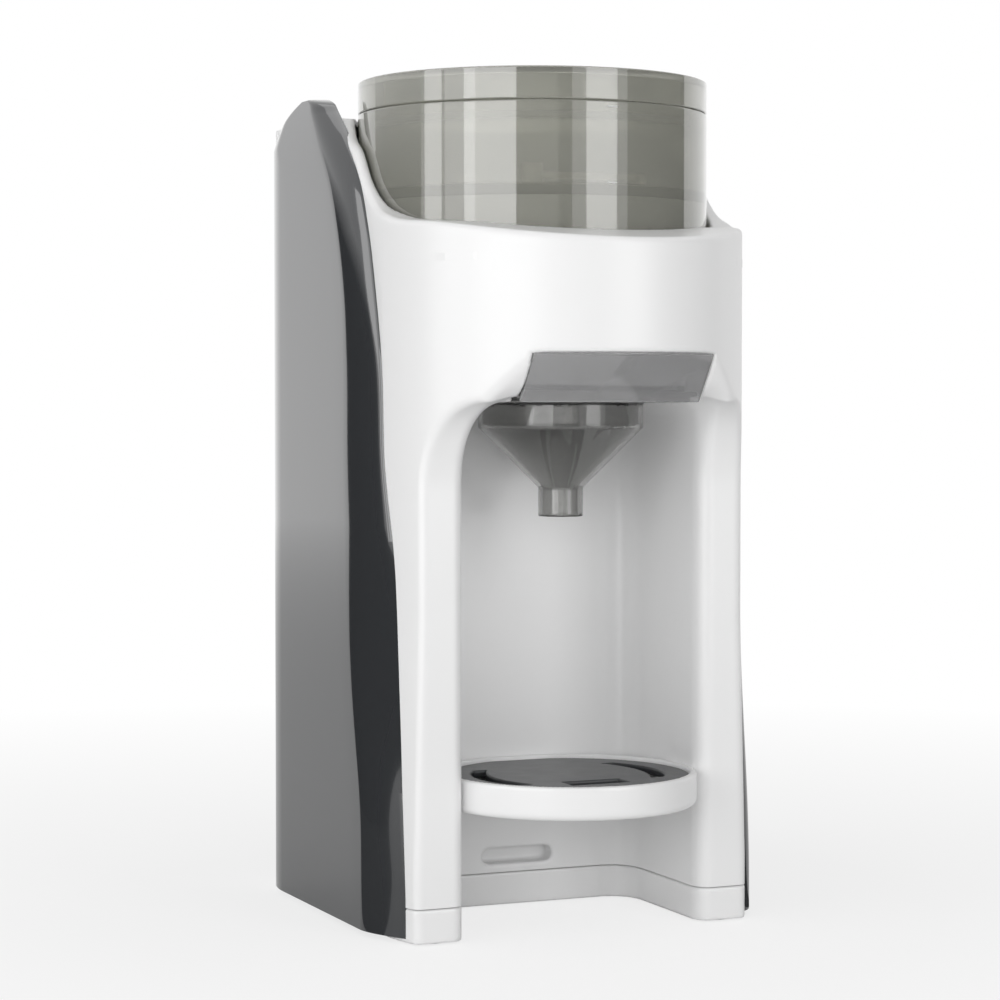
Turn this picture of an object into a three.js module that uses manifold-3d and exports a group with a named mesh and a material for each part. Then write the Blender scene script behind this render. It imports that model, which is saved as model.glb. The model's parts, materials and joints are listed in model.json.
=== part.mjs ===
// Baby formula maker: it warms water, doses powder and mixes both in a funnel over a bottle.
// Millimetres, +Z up, x to the right and y to the back. Plan sizes are measured from the spout's axis,
// and the last lines shift the whole machine so that its own middle stands on the origin.
import * as THREE from "three";
import { mergeVertices } from "three/addons/utils/BufferGeometryUtils.js";
import Module from "manifold-3d";

const wasm = await Module();
wasm.setup();

// Clearances and walls
const GAP = 0.3;
const OVERRUN = 5;
const WALL = 2.6;
const BOARD = 1.6;

// Machine in plan: the width leads, and the alcove, funnel, container and column follow it
const PANEL_HALF_WIDTH = 95;
const PANEL_WALL = 3;
const PANEL_PROUD = 8;
const ALCOVE_SHARE = 0.68966;
const BODY_HALF_WIDTH = PANEL_HALF_WIDTH - PANEL_PROUD;
const ALCOVE_HALF_WIDTH = BODY_HALF_WIDTH * ALCOVE_SHARE;
const PILLAR_FRONT_Y = -27;

// Funnel, its tray and the head in front of it
const SPOUT_RADIUS = 10.25;
const SPOUT_LENGTH = 13;
const TRAY_SHARE = 0.725;
const TRAY_RIM = 5.75;
const TRAY_STEP = 3.2;
const TRAY_HALF_WIDTH = ALCOVE_HALF_WIDTH * TRAY_SHARE;
const TRAY_SLOT_HALF = TRAY_HALF_WIDTH - TRAY_STEP;
const FUNNEL_RADIUS = TRAY_HALF_WIDTH - TRAY_RIM;
const FUNNEL_WALL = 2;
const FUNNEL_BAND = 11.5;
const FUNNEL_CONE = FUNNEL_RADIUS - SPOUT_RADIUS;
const TRAY_REAR_RIM = 4.25;
const TRAY_FRONT_RIM = 12.95;
const TRAY_BACK_Y = FUNNEL_RADIUS + TRAY_REAR_RIM;
const TRAY_FRONT_Y = -FUNNEL_RADIUS - TRAY_FRONT_RIM;
const TRAY_FLANGE = 2.5;
const COVER_WALL = 2;
const COVER_STEPS = 8;
const ARCH_LIP = 2.3;
const COVER_LEAN = 16;
const NOSE_OVERHANG = 11;
const ARCH_FRONT_Y = TRAY_FRONT_Y - ARCH_LIP;
const RECESS_TOP_Y = ARCH_FRONT_Y - COVER_LEAN;
const NOSE_REACH = NOSE_OVERHANG - RECESS_TOP_Y;
const NOSE_STEPS = 18;
const RAIL_WALL = 2.6;
const RAIL_FRONT_STEP = 12.7;
const RAIL_REAR_STEP = 4;
const RAIL_FRONT_Y = TRAY_FRONT_Y + RAIL_FRONT_STEP;
const RAIL_BACK_Y = TRAY_BACK_Y + RAIL_REAR_STEP;
const SWITCH_WIDTH = 10;
const SWITCH_DEPTH = 16;
const SWITCH_HEIGHT = 9.5;
const SWITCH_INSET = 4.5;
const SWITCH_X = TRAY_HALF_WIDTH - SWITCH_INSET;
const SWITCH_Y = 18;
const CHUTE_HALF = 10;
const CHUTE_WALL = 2;
const CHUTE_FLANGE_HALF = 14;
const CHUTE_FLANGE = 2;
const NOZZLE_X = -24;
const NOZZLE_Y = -6;
const NOZZLE_RADIUS = 3.5;
const NOZZLE_RISE = 13.4;
const NOZZLE_ARM = 10;
const NOZZLE_FLANGE_RADIUS = 6;
const NOZZLE_BORE_RADIUS = 2;

// Alcove for the bottle
const ALCOVE_REAR_ROOM = 7;
const ALCOVE_BACK_Y = TRAY_BACK_Y + ALCOVE_REAR_ROOM;
const ALCOVE_CORNER = 18;
const CEILING_Z = 239;
const SHOULDER_DROP = 29;
const SHOULDER_INSET = 0.5;
const SHOULDER_X = TRAY_HALF_WIDTH + SHOULDER_INSET;
const SHOULDER_WIDTH = ALCOVE_HALF_WIDTH - SHOULDER_X;
const ARCH_DROP = 39;
const CORNER_STEPS = 4;

// Powder container, its seat and drive
const CONTAINER_INSET = 6;
const CONTAINER_SET_BACK = 31;
const CONTAINER_RADIUS = BODY_HALF_WIDTH - CONTAINER_INSET;
const CONTAINER_Y = CONTAINER_RADIUS - NOSE_REACH + CONTAINER_SET_BACK;
const CONTAINER_WALL = 2.2;
const CONTAINER_HEIGHT = 67.3;
const HOPPER_INSET = 20;
const HOPPER_RADIUS = CONTAINER_RADIUS - HOPPER_INSET;
const HOPPER_FLOOR = 2.2;
const HOPPER_DEPTH = 15;
const HOPPER_SLOPE = 15.8;
const SEAT_CLEARANCE = 1.3;
const MECHANISM_ROOM = 58.7;
const DECK_THICKNESS = 3.4;
const LID_HEIGHT = 14.4;
const LID_THICKNESS = 2.4;
const LID_PLUG_INSET = 4.5;
const LID_PLUG_RADIUS = CONTAINER_RADIUS - LID_PLUG_INSET;
const LID_PLUG_DEPTH = 8.6;
const LID_PLUG_WALL = 2.2;
const LID_SEAL_DROP = 5;
const LID_SEAL_HEIGHT = 3;
const ROUND_STEPS = 36;
const SMALL_STEPS = 12;
const SEAL_STEPS = 16;

const WHEEL_THICKNESS = 12;
const POCKET_RADIUS = 8;
const POCKET_COUNT = 8;
const WHEEL_HUB_RADIUS = 10;
const WHEEL_HUB_RISE = 5;
const STIRRER_RADIUS = 5;
const STIRRER_RISE = 26;
const STIRRER_CLEARANCE = 5;
const STIRRER_REACH = HOPPER_RADIUS - STIRRER_CLEARANCE;
const STIRRER_BAR = 3;
const STIRRER_ARM_SHARES = [0.2, 0.75];
const PADDLE_DROP = 9;

const GEAR_RADIUS = 20;
const GEAR_TEETH = 40;
const GEAR_MODULE = (2 * GEAR_RADIUS) / GEAR_TEETH;
const PINION_TEETH = 12;
const ADDENDUM_SHARE = 0.8;
const DEDENDUM_SHARE = 1.25;
const ROOT_TOOTH_SHARE = 0.3;
const TIP_TOOTH_SHARE = 0.14;
const GEAR_THICKNESS = 6;
const GEAR_DROP = 4.3;
const PINION_ANGLE = Math.PI / 4;
const SHAFT_RADIUS = 4;
const SHAFT_TAIL = 1.5;
const COUPLER_RADIUS = 5;
const COUPLER_SIDES = 6;
const COUPLER_RISE = 10;
const BUSH_RADIUS = 8;
const BUSH_FLANGE_RADIUS = 11;
const BUSH_FLANGE = 2.4;
const MOTOR_RADIUS = 13;
const MOTOR_ROOM = 22.7;
const MOTOR_HEIGHT = MECHANISM_ROOM - MOTOR_ROOM;
const MOTOR_SHAFT_RADIUS = 2;
const MOTOR_SHAFT_DEPTH = 5;
const BRACKET_THICKNESS = 2.5;
const BRACKET_HALF = 22;
const BRACKET_POST_RADIUS = 2.5;
const BRACKET_HOLE_RADIUS = 8;
const BRACKET_DROP = 10.9;

// Column behind the alcove, and the water tank behind that
const SPLIT_STEP = 11;
const BAY_CLEARANCE = 1.5;
const BAY_DEPTH = 16.5;
const TANK_FRONT_GAP = 1.3;
const TANK_DEPTH = 49.6;
const SPLIT_Y = ALCOVE_BACK_Y + SPLIT_STEP;
const BAY_WALL_Y = CONTAINER_Y + CONTAINER_RADIUS + BAY_CLEARANCE;
const REAR_Y = BAY_WALL_Y + BAY_DEPTH;
const BAY_Y = BAY_WALL_Y + WALL;
const TANK_FRONT_Y = BAY_Y + TANK_FRONT_GAP;
const TANK_REAR_Y = TANK_FRONT_Y + TANK_DEPTH;
const TANK_INSET = 3;
const TANK_HALF_WIDTH = BODY_HALF_WIDTH - TANK_INSET;
const TANK_CORNER = 20;
const TANK_FRONT_CORNER = 6;
const TANK_WALL = 2.4;
const MOUTH_INSET = 8;
const MOUTH_HALF_WIDTH = TANK_HALF_WIDTH - MOUTH_INSET;
const MOUTH_FRONT_RIM = 4;
const MOUTH_REAR_RIM = 15.1;
const MOUTH_DEPTH = TANK_DEPTH - MOUTH_FRONT_RIM - MOUTH_REAR_RIM;
const TANK_LID_THICKNESS = 3;
const TANK_LID_REAR_STEP = 9.6;
const TANK_LID_DEPTH = TANK_DEPTH - TANK_LID_REAR_STEP;
const HINGE_INSET = 4.5;
const HINGE_RISE = 5;
const HINGE_PIN_RADIUS = 2.1;
const HINGE_EAR_RADIUS = 4.4;
const HINGE_EAR_WIDTH = 6;
const HINGE_HALF_LENGTH = 30;
const NECK_RADIUS = 9;
const NECK_LENGTH = 6.4;
const NECK_BORE = 5;
const NECK_INSET = 26;
const NECK_Y = TANK_REAR_Y - NECK_INSET;
const VALVE_HEAD_RADIUS = 7.5;
const VALVE_HEAD = 2.4;
const VALVE_STEM_RADIUS = 3;
const VALVE_SEAL = 2;
const DOCK_HALF_WIDTH = 40;
const DOCK_FRONT_STEP = 0.6;
const DOCK_REAR_STEP = 8;
const DOCK_FRONT_Y = TANK_FRONT_Y + DOCK_FRONT_STEP;
const DOCK_BACK_Y = TANK_REAR_Y - DOCK_REAR_STEP;
const DOCK_HEIGHT = 8.4;
const DOCK_FLOOR = 2;
const DOCK_SEAL_WALL = 2.7;
const DOCK_SEAL_HEIGHT = 4;
const NIPPLE_RADIUS = 3;
const NIPPLE_LENGTH = 6;
const DOCK_NIPPLE_LENGTH = 11;

// Base
const FOOT_HEIGHT = 2.2;
const FOOT_RADIUS = 8;
const BASE_HEIGHT = 13.5;
const BASE_TOP_THICKNESS = 3;
const BASE_REAR_STEP = 2;
const BASE_REAR_Y = TANK_REAR_Y - BASE_REAR_STEP;
const FOOT_INSET = 16;
const FOOT_X = BODY_HALF_WIDTH - FOOT_INSET;
const FRONT_FOOT_Y = -15;
const REAR_FOOT_INSET = 20;
const REAR_FOOT_Y = TANK_REAR_Y - REAR_FOOT_INSET;
const SCREW_INSET = 14;
const SCREW_X = BODY_HALF_WIDTH - SCREW_INSET;
const FRONT_SCREW_Y = 10;
const REAR_SCREW_INSET = 10.5;
const REAR_SCREW_Y = BAY_WALL_Y - REAR_SCREW_INSET;
const SCREW_SHANK_RADIUS = 1.8;
const SCREW_HEAD_RADIUS = 3.6;
const SCREW_HEAD_HEIGHT = 2.2;
const SCREW_LENGTH = 20;
const SCREW_BOSS_RADIUS = 5.5;
const SCREW_BOSS_HEIGHT = 22;
const COUNTERBORE_DEPTH = 7;
const RIB = 3;

// Side panels: outline in shares of their height and depth
const PANEL_FRONT_Y = -20;
const PANEL_BOTTOM = 2.5;
const PANEL_SHARES = [
  // height, front edge, crease, rear edge
  [0, 0, 0.093, 1],
  [0.141, 0.017, 0.113, 1],
  [0.224, 0.031, 0.223, 1],
  [0.285, 0.042, 0.268, 1],
  [0.348, 0.053, 0.289, 1],
  [0.55, 0.118, 0.333, 1],
  [0.677, 0.139, 0.333, 1],
  [0.754, 0.183, 0.342, 1],
  [0.833, 0.245, 0.397, 1],
  [0.894, 0.321, 0.466, 1],
  [0.947, 0.447, 0.56, 1],
  [0.966, 0.503, 0.596, 0.946],
  [0.984, 0.558, 0.636, 0.872],
  [1, 0.636, 0.675, 0.728],
];
const CREASE_CONTROL_SHARE = 0.5;
const CREASE_STEPS = 2;

// Head
const RECESS_RISE = 21;
const NOSE_RISE = 6.3;
const WING_DROP = 1.3;
const PANEL_RISE = 10;
const TANK_DROP = 4;
const WING_RUN_SHARES = [0, 0.33, 0.557, 0.664, 0.738, 0.813, 0.907, 1];
const WING_RISE_SHARES = [0, 0.127, 0.2, 0.308, 0.467, 0.7, 0.833, 1];

// Bottle stand and drip grid
const STAND_SIDE_GAP = 1.4;
const STAND_REAR_FLAT = 1.6;
const STAND_RADIUS = ALCOVE_HALF_WIDTH - STAND_SIDE_GAP;
const STAND_Y = ALCOVE_BACK_Y + STAND_REAR_FLAT - STAND_RADIUS;
const STAND_TOP_Z = 71.5;
const STAND_HEIGHT = 15;
const STAND_WALL = 3;
const STAND_FLOOR = 2.5;
const STAND_LEDGE = 2.6;
const STAND_BACK_GAP = 0.6;
const GRID_THICKNESS = 3.4;
const GRID_RECESS = 1.7;
const CRESCENT_INSET = 14.6;
const CRESCENT_WIDTH = 8;
const CRESCENT_OUTER = STAND_RADIUS - CRESCENT_INSET;
const CRESCENT_INNER = CRESCENT_OUTER - CRESCENT_WIDTH;
const CRESCENT_HALF_ANGLE = Math.PI / 5;
const CRESCENT_STEPS = 8;
const GRID_SLOT_HALF = 14;
const GRID_SLOT_DEPTH = 12;
const GRID_SLOT_Y = STAND_Y - CRESCENT_OUTER + GRID_SLOT_HALF;
const SLOT_HALF_WIDTH = 18;
const SLOT_HEIGHT = 7.5;
const HOOK_RISE = 6.5;
const UPPER_SLOT_Z = STAND_TOP_Z - STAND_HEIGHT + HOOK_RISE;
const LOWER_SLOT_Z = 24;
const TAB_REACH = 6;
const LEDGE_REACH = 3;
const LEDGE_THICKNESS = 6;
const LEDGE_FRONT_Y = -16;
const LEDGE_BACK_Y = 20;

// Water heating, pump, hoses and boards in the column
const PUMP_X = -32;
const PUMP_SET_BACK = 32;
const PUMP_Y = ALCOVE_BACK_Y + PUMP_SET_BACK;
const PUMP_WIDTH = 36;
const PUMP_DEPTH = 30;
const PUMP_HEIGHT = 28;
const PUMP_SIDE_ROOM = 6.8;
const HEATER_Z = 100;
const HEATER_WIDTH = 40;
const HEATER_DEPTH = 35;
const HEATER_HEIGHT = 70;
const HEATER_STANDOFF = 4.6;
const STANDOFF_RADIUS = 3.5;
const HOSE_RADIUS = 3.5;
const HOSE_STEPS = 10;
const HOSE_SIDES = 8;
const HOSE_REACH_SHARE = 0.45;
const RISER_REACH_SHARE = 1.023;
const RISER_END_REACH = 40;
const MAIN_BOARD_X = -10;
const MAIN_BOARD_Z = 60;
const MAIN_BOARD_WIDTH = 90;
const MAIN_BOARD_HEIGHT = 140;
const BOARD_STANDOFF = 6.5;
const BOARD_MARGIN = 6;
const INLET_INSET = 36;
const INLET_X = INLET_INSET - TANK_HALF_WIDTH;
const INLET_WIDTH = 24;
const INLET_HEIGHT = 9;
const INLET_DEPTH = 14;
const INLET_WALL = 1.6;
const INLET_RECESS = 9;

// Controls on the right panel
const BEZEL_INSET = 45;
const BEZEL_RISE = 6;
const BEZEL_Y = REAR_Y - BEZEL_INSET;
const BEZEL_Z = CEILING_Z + BEZEL_RISE;
const BEZEL_WIDTH = 40;
const BEZEL_HEIGHT = 110;
const BEZEL_SET_BACK = 1;
const BEZEL_FLANGE = 2.5;
const BEZEL_LIP = 2.7;
const WINDOW_MARGIN = 4;
const WINDOW_WIDTH = BEZEL_WIDTH - 2 * WINDOW_MARGIN;
const WINDOW_HEIGHT = 28;
const WINDOW_RISE_SHARE = 0.309;
const WINDOW_RISE = BEZEL_HEIGHT * WINDOW_RISE_SHARE;
const WINDOW_THICKNESS = 2.4;
const BUTTON_PROUD = 0.7;
const BUTTON_COLLAR = 1.5;
const BUTTON_COLLAR_THICKNESS = 1;
const BUTTON_TRAVEL = 1.2;
const BUTTON_RADIUS = 6.5;
const START_BUTTON_RADIUS = 9;
const BUTTON_SPREAD = 9;
const UPPER_ROW_SHARE = 0.055;
const LOWER_ROW_SHARE = 0.118;
const START_ROW_SHARE = 0.336;
const UPPER_ROW_RISE = BEZEL_HEIGHT * UPPER_ROW_SHARE;
const LOWER_ROW_DROP = BEZEL_HEIGHT * LOWER_ROW_SHARE;
const START_ROW_DROP = BEZEL_HEIGHT * START_ROW_SHARE;
const BOARD_INSET = 2;
const SWITCH_CAP = 0.7;
const BUTTON_STEPS = 16;

// Levels that follow from the sizes above
const BASE_BOTTOM = FOOT_HEIGHT + GAP;
const BASE_TOP = BASE_BOTTOM + BASE_HEIGHT;
const HOUSING_BOTTOM = BASE_TOP + GAP;
const CEILING_TOP = CEILING_Z + WALL;
const DECK_BOTTOM = CEILING_TOP + MECHANISM_ROOM;
const DECK_TOP = DECK_BOTTOM + DECK_THICKNESS;
const CONTAINER_BOTTOM = DECK_TOP + GAP;
const CONTAINER_TOP = CONTAINER_BOTTOM + CONTAINER_HEIGHT;
const LID_BOTTOM = CONTAINER_TOP + GAP;
const LID_TOP = LID_BOTTOM + LID_HEIGHT;
const WHEEL_BOTTOM = CONTAINER_BOTTOM + HOPPER_FLOOR + GAP;
const WHEEL_TOP = WHEEL_BOTTOM + WHEEL_THICKNESS;
const HUB_TOP = WHEEL_TOP + WHEEL_HUB_RISE;
const SHOULDER_Z = CEILING_Z - SHOULDER_DROP;
const RECESS_TOP_Z = CEILING_Z + RECESS_RISE;
const NOSE_TOP_Z = DECK_TOP + NOSE_RISE;
const WING_TOP_Z = CONTAINER_TOP - WING_DROP;
const REAR_TOP_Z = WING_TOP_Z;
const PANEL_TOP = WING_TOP_Z + PANEL_RISE;
const TANK_TOP_Z = WING_TOP_Z - TANK_DROP;
const FAR = LID_TOP + PANEL_HALF_WIDTH;
const PANEL_INNER_X = PANEL_HALF_WIDTH - PANEL_WALL;
const REAR_HALF_WIDTH = PANEL_INNER_X - GAP;
const PUMP_LEFT_X = PUMP_X - PUMP_WIDTH / 2;
const PUMP_MOTOR_LEFT_X = WALL + PUMP_SIDE_ROOM - REAR_HALF_WIDTH;
const SEAT_RADIUS = CONTAINER_RADIUS + SEAT_CLEARANCE;
const TANK_BOTTOM = HOUSING_BOTTOM + DOCK_HEIGHT + GAP;
const FLANGE_BOTTOM = CEILING_TOP + GAP;
const FLANGE_TOP = FLANGE_BOTTOM + TRAY_FLANGE;
const RAIL_BOTTOM = FLANGE_TOP + GAP;
const RAIL_TOP = RAIL_BOTTOM + RAIL_WALL;
const GRID_BOTTOM = STAND_TOP_Z - GRID_RECESS - GRID_THICKNESS;
const STAND_BOTTOM = STAND_TOP_Z - STAND_HEIGHT;
const PINION_RADIUS = (GEAR_MODULE * PINION_TEETH) / 2;
const PINION_DISTANCE = GEAR_RADIUS + PINION_RADIUS;
const PINION_X = PINION_DISTANCE * Math.cos(PINION_ANGLE);
const PINION_Y = CONTAINER_Y + PINION_DISTANCE * Math.sin(PINION_ANGLE);
const GEAR_TOP = DECK_BOTTOM - GEAR_DROP;
const GEAR_BOTTOM = GEAR_TOP - GEAR_THICKNESS;
const BRACKET_TOP = DECK_BOTTOM - BRACKET_DROP;
const BRACKET_BOTTOM = BRACKET_TOP - BRACKET_THICKNESS;
const BEZEL_FACE_X = PANEL_HALF_WIDTH - BEZEL_SET_BACK;
const BEZEL_BACK_X = PANEL_INNER_X - GAP - BEZEL_FLANGE;
const HINGE_Y = TANK_REAR_Y - HINGE_INSET;
const HINGE_Z = TANK_TOP_Z + HINGE_RISE;

// Materials, each made anew so that every sub-part has its own
function material(color, roughness, metalness = 0, opacity = 1) {
  const transparent = opacity < 1;
  const look = { color, roughness, metalness, opacity, transparent, flatShading: true };
  return new THREE.MeshStandardMaterial(look);
}
const whitePlastic = () => material(0xf4f4f3, 0.35);
const charcoalGloss = () => material(0x3a4046, 0.12);
const smokedPlastic = () => material(0x5c625c, 0.08, 0, 0.6);
const darkPlastic = () => material(0x2b2d2f, 0.45);
const greyPlastic = () => material(0x8b8f92, 0.5);
const blackRubber = () => material(0x1b1b1c, 0.85);
const clearSilicone = () => material(0xd8dcdc, 0.4);
const steel = () => material(0xb9bcc0, 0.3, 0.9);
const brass = () => material(0xb08d4f, 0.35, 0.9);
const circuitBoard = () => material(0x1f5a3a, 0.5);
const nylon = () => material(0xe6e2d6, 0.5);

// Closed solids from three.js geometries
function solid(shape) {
  if (!shape.isBufferGeometry) return shape;
  const bare = new THREE.BufferGeometry();
  bare.setAttribute("position", shape.getAttribute("position").clone());
  if (shape.index) bare.setIndex(shape.index.clone());
  const merged = mergeVertices(bare);
  const vertProperties = new Float32Array(merged.getAttribute("position").array);
  const triVerts = new Uint32Array(merged.index.array);
  return new wasm.Manifold(new wasm.Mesh({ numProp: 3, vertProperties, triVerts }));
}

const join = (...shapes) => shapes.map(solid).reduce((whole, piece) => whole.add(piece));
const cut = (shape, ...tools) => tools.map(solid).reduce((whole, tool) => whole.subtract(tool), solid(shape));
const overlap = (...shapes) => shapes.map(solid).reduce((whole, piece) => whole.intersect(piece));

function outline(points) {
  return new THREE.Shape(points.map(([a, b]) => new THREE.Vector2(a, b)));
}

// A plan outline (x, y) raised from one height to another
function prismZ(points, low, high) {
  const prism = new THREE.ExtrudeGeometry(outline(points), { depth: high - low, bevelEnabled: false });
  return prism.translate(0, 0, low);
}

// A front outline (x, z) swept from front to back
function prismY(points, front, back) {
  const prism = new THREE.ExtrudeGeometry(outline(points), { depth: back - front, bevelEnabled: false });
  return prism.rotateX(Math.PI / 2).translate(0, back, 0);
}

// A side outline (y, z) swept from left to right
function prismX(points, left, right) {
  const prism = new THREE.ExtrudeGeometry(outline(points), { depth: right - left, bevelEnabled: false });
  return prism.rotateY(Math.PI / 2).rotateX(Math.PI / 2).translate(left, 0, 0);
}

function box(left, right, front, back, low, high) {
  const block = new THREE.BoxGeometry(right - left, back - front, high - low);
  return block.translate((left + right) / 2, (front + back) / 2, (low + high) / 2);
}

function rodZ(radius, x, y, low, high, sides = SMALL_STEPS) {
  const rod = new THREE.CylinderGeometry(radius, radius, high - low, sides);
  return rod.rotateX(Math.PI / 2).translate(x, y, (low + high) / 2);
}

function rodY(radius, x, z, front, back, sides = SMALL_STEPS) {
  return new THREE.CylinderGeometry(radius, radius, back - front, sides).translate(x, (front + back) / 2, z);
}

function rodX(radius, y, z, left, right, sides = SMALL_STEPS) {
  const rod = new THREE.CylinderGeometry(radius, radius, right - left, sides);
  return rod.rotateZ(Math.PI / 2).translate((left + right) / 2, y, z);
}

// A profile (radius, height) turned about a vertical axis
function turned(profile, x, y, sides = ROUND_STEPS) {
  const points = profile.map(([radius, height]) => new THREE.Vector2(radius, height));
  return new THREE.LatheGeometry(points, sides).rotateX(Math.PI / 2).translate(x, y, 0);
}

// A closed profile that doesn't touch the axis comes back to its first point
const ringProfile = (profile) => [...profile, profile[0]];

// A closed skin through equal rings of 3-D points, with flat ends
function loft(rings) {
  const count = rings[0].length;
  const positions = rings.flat(2);
  const faces = [];
  for (let ring = 0; ring < rings.length - 1; ring += 1) {
    for (let i = 0; i < count; i += 1) {
      const here = ring * count + i;
      const next = ring * count + ((i + 1) % count);
      faces.push(here, next, here + count, next, next + count, here + count);
    }
  }
  for (const [ring, turn] of [[0, -1], [rings.length - 1, 1]]) {
    for (const face of capFaces(rings[ring])) {
      const ordered = turn > 0 ? face : [...face].reverse();
      faces.push(...ordered.map((corner) => corner + ring * count));
    }
  }
  const skin = new THREE.BufferGeometry();
  skin.setAttribute("position", new THREE.Float32BufferAttribute(positions, 3));
  skin.setIndex(faces);
  return skin;
}

// Triangles over one flat ring, wound the same way as the ring
function capFaces(ring) {
  const spans = [0, 1, 2].map((axis) => {
    const values = ring.map((point) => point[axis]);
    return Math.max(...values) - Math.min(...values);
  });
  const flat = spans.indexOf(Math.min(...spans));
  const [a, b] = [(flat + 1) % 3, (flat + 2) % 3];
  const contour = ring.map((point) => new THREE.Vector2(point[a], point[b]));
  const faces = THREE.ShapeUtils.triangulateShape(contour, []);
  const turn = Math.sign(THREE.ShapeUtils.area(contour));
  return faces.map(([i, j, k]) => {
    const corners = [contour[i], contour[j], contour[k]];
    return Math.sign(THREE.ShapeUtils.area(corners)) === turn ? [i, j, k] : [k, j, i];
  });
}

const machine = new THREE.Group();

function addPart(name, surface, shape) {
  const made = solid(shape).getMesh();
  const geometry = new THREE.BufferGeometry();
  geometry.setAttribute("position", new THREE.BufferAttribute(made.vertProperties, 3));
  geometry.setIndex(new THREE.BufferAttribute(made.triVerts, 1));
  geometry.computeVertexNormals();
  const mesh = new THREE.Mesh(geometry, surface);
  mesh.name = name;
  machine.add(mesh);
}

// Points along part of an ellipse, both ends included
function arc(centreA, centreB, radiusA, radiusB, from, to, steps) {
  return Array.from({ length: steps + 1 }, (_, i) => {
    const angle = from + ((to - from) * i) / steps;
    return [centreA + radiusA * Math.cos(angle), centreB + radiusB * Math.sin(angle)];
  });
}

// Half width of the white body at a depth: an ellipse in front of the spout's axis, straight behind it
function bodyHalfWidth(y) {
  return y < 0 ? BODY_HALF_WIDTH * Math.sqrt(1 - (y / NOSE_REACH) ** 2) : BODY_HALF_WIDTH;
}

function bodyPlan(inset, rear) {
  const half = BODY_HALF_WIDTH - inset;
  const nose = arc(0, 0, half, NOSE_REACH - inset, Math.PI, 2 * Math.PI, NOSE_STEPS);
  return [...nose, [half, rear], [-half, rear]];
}

// Side outline of the white body: pillars, sweep of the arch, head underside and the rise of the wings
function bodyProfile(inset, low, rear) {
  const sweep = arc(
    ARCH_FRONT_Y, CEILING_Z - ARCH_DROP,
    PILLAR_FRONT_Y - ARCH_FRONT_Y + inset, ARCH_DROP + inset,
    0, Math.PI / 2, CORNER_STEPS,
  );
  const topFrontY = -NOSE_REACH;
  const run = SPLIT_Y - topFrontY;
  const rise = WING_TOP_Z - NOSE_TOP_Z;
  const top = WING_RUN_SHARES.map((share, i) => {
    return [topFrontY + run * share, NOSE_TOP_Z + rise * WING_RISE_SHARES[i] - inset];
  });
  return [
    [rear, low],
    [PILLAR_FRONT_Y + inset, low],
    ...sweep,
    [RECESS_TOP_Y, RECESS_TOP_Z + inset],
    [topFrontY - OVERRUN, RECESS_TOP_Z + inset],
    [topFrontY - OVERRUN, NOSE_TOP_Z - inset],
    ...top,
    [rear, WING_TOP_Z - inset],
  ].reverse();
}

function bodySolid(inset, low, rear) {
  const plan = prismZ(bodyPlan(inset, rear), low, REAR_TOP_Z);
  return overlap(plan, prismX(bodyProfile(inset, low, rear), -FAR, FAR));
}

// Section of a side panel at one level: its outer line from the front edge to the rear edge
function panelLine(shares) {
  const [heightShare, edgeShare, creaseShare, rearShare] = shares;
  const depth = REAR_Y - PANEL_FRONT_Y;
  const z = PANEL_BOTTOM + (PANEL_TOP - PANEL_BOTTOM) * heightShare;
  const edgeY = PANEL_FRONT_Y + depth * edgeShare;
  const creaseY = PANEL_FRONT_Y + depth * creaseShare;
  const controlY = creaseY + (edgeY - creaseY) * CREASE_CONTROL_SHARE;
  const curve = new THREE.QuadraticBezierCurve(
    new THREE.Vector2(bodyHalfWidth(edgeY), edgeY),
    new THREE.Vector2(PANEL_HALF_WIDTH, controlY),
    new THREE.Vector2(PANEL_HALF_WIDTH, creaseY),
  );
  const line = curve.getPoints(CREASE_STEPS).map((point) => [point.x, point.y]);
  return { z, line, rearY: PANEL_FRONT_Y + depth * rearShare };
}

const toSide = (ring, side) => (side > 0 ? ring : ring.map(([x, y, z]) => [-x, y, z]).reverse());

function sidePanel(side) {
  const rings = PANEL_SHARES.map((shares) => {
    const { z, line, rearY } = panelLine(shares);
    const outer = [...line, [PANEL_HALF_WIDTH, rearY]];
    const inner = outer.map(([x, y]) => [x - PANEL_WALL, y]).reverse();
    return toSide([...outer, ...inner].map(([x, y]) => [x, y, z]), side);
  });
  return loft(rings);
}

// Room for a side panel, grown by a clearance: everything outward of its inner face
function panelRoom(side, clearance) {
  const levels = PANEL_SHARES.map((shares) => {
    const { z, line } = panelLine(shares);
    const inner = line.map(([x, y]) => [x - PANEL_WALL - clearance, y]);
    const step = [inner[0][0], inner[0][1] - clearance];
    const outerX = PANEL_HALF_WIDTH + OVERRUN;
    const rear = [[PANEL_INNER_X - clearance, FAR], [outerX, FAR], [outerX, step[1]]];
    return { z, ring: [step, ...inner, ...rear] };
  });
  const lowest = { z: -OVERRUN, ring: levels[0].ring };
  const highest = { z: PANEL_TOP + OVERRUN, ring: levels[levels.length - 1].ring };
  const rings = [lowest, ...levels, highest].map(({ z, ring }) => {
    return toSide(ring.map(([x, y]) => [x, y, z]).reverse(), side);
  });
  return loft(rings);
}

const bothPanelRooms = (clearance) => [panelRoom(-1, clearance), panelRoom(1, clearance)];

// Front view of the alcove's arch, and its plan with round rear corners
function archOutline(grown, low) {
  const half = ALCOVE_HALF_WIDTH + grown;
  const right = arc(
    SHOULDER_X, SHOULDER_Z, SHOULDER_WIDTH + grown, SHOULDER_DROP + grown, 0, Math.PI / 2, CORNER_STEPS,
  );
  const left = right.map(([x, z]) => [-x, z]).reverse();
  return [[-half, low], [half, low], ...right, ...left];
}

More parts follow.
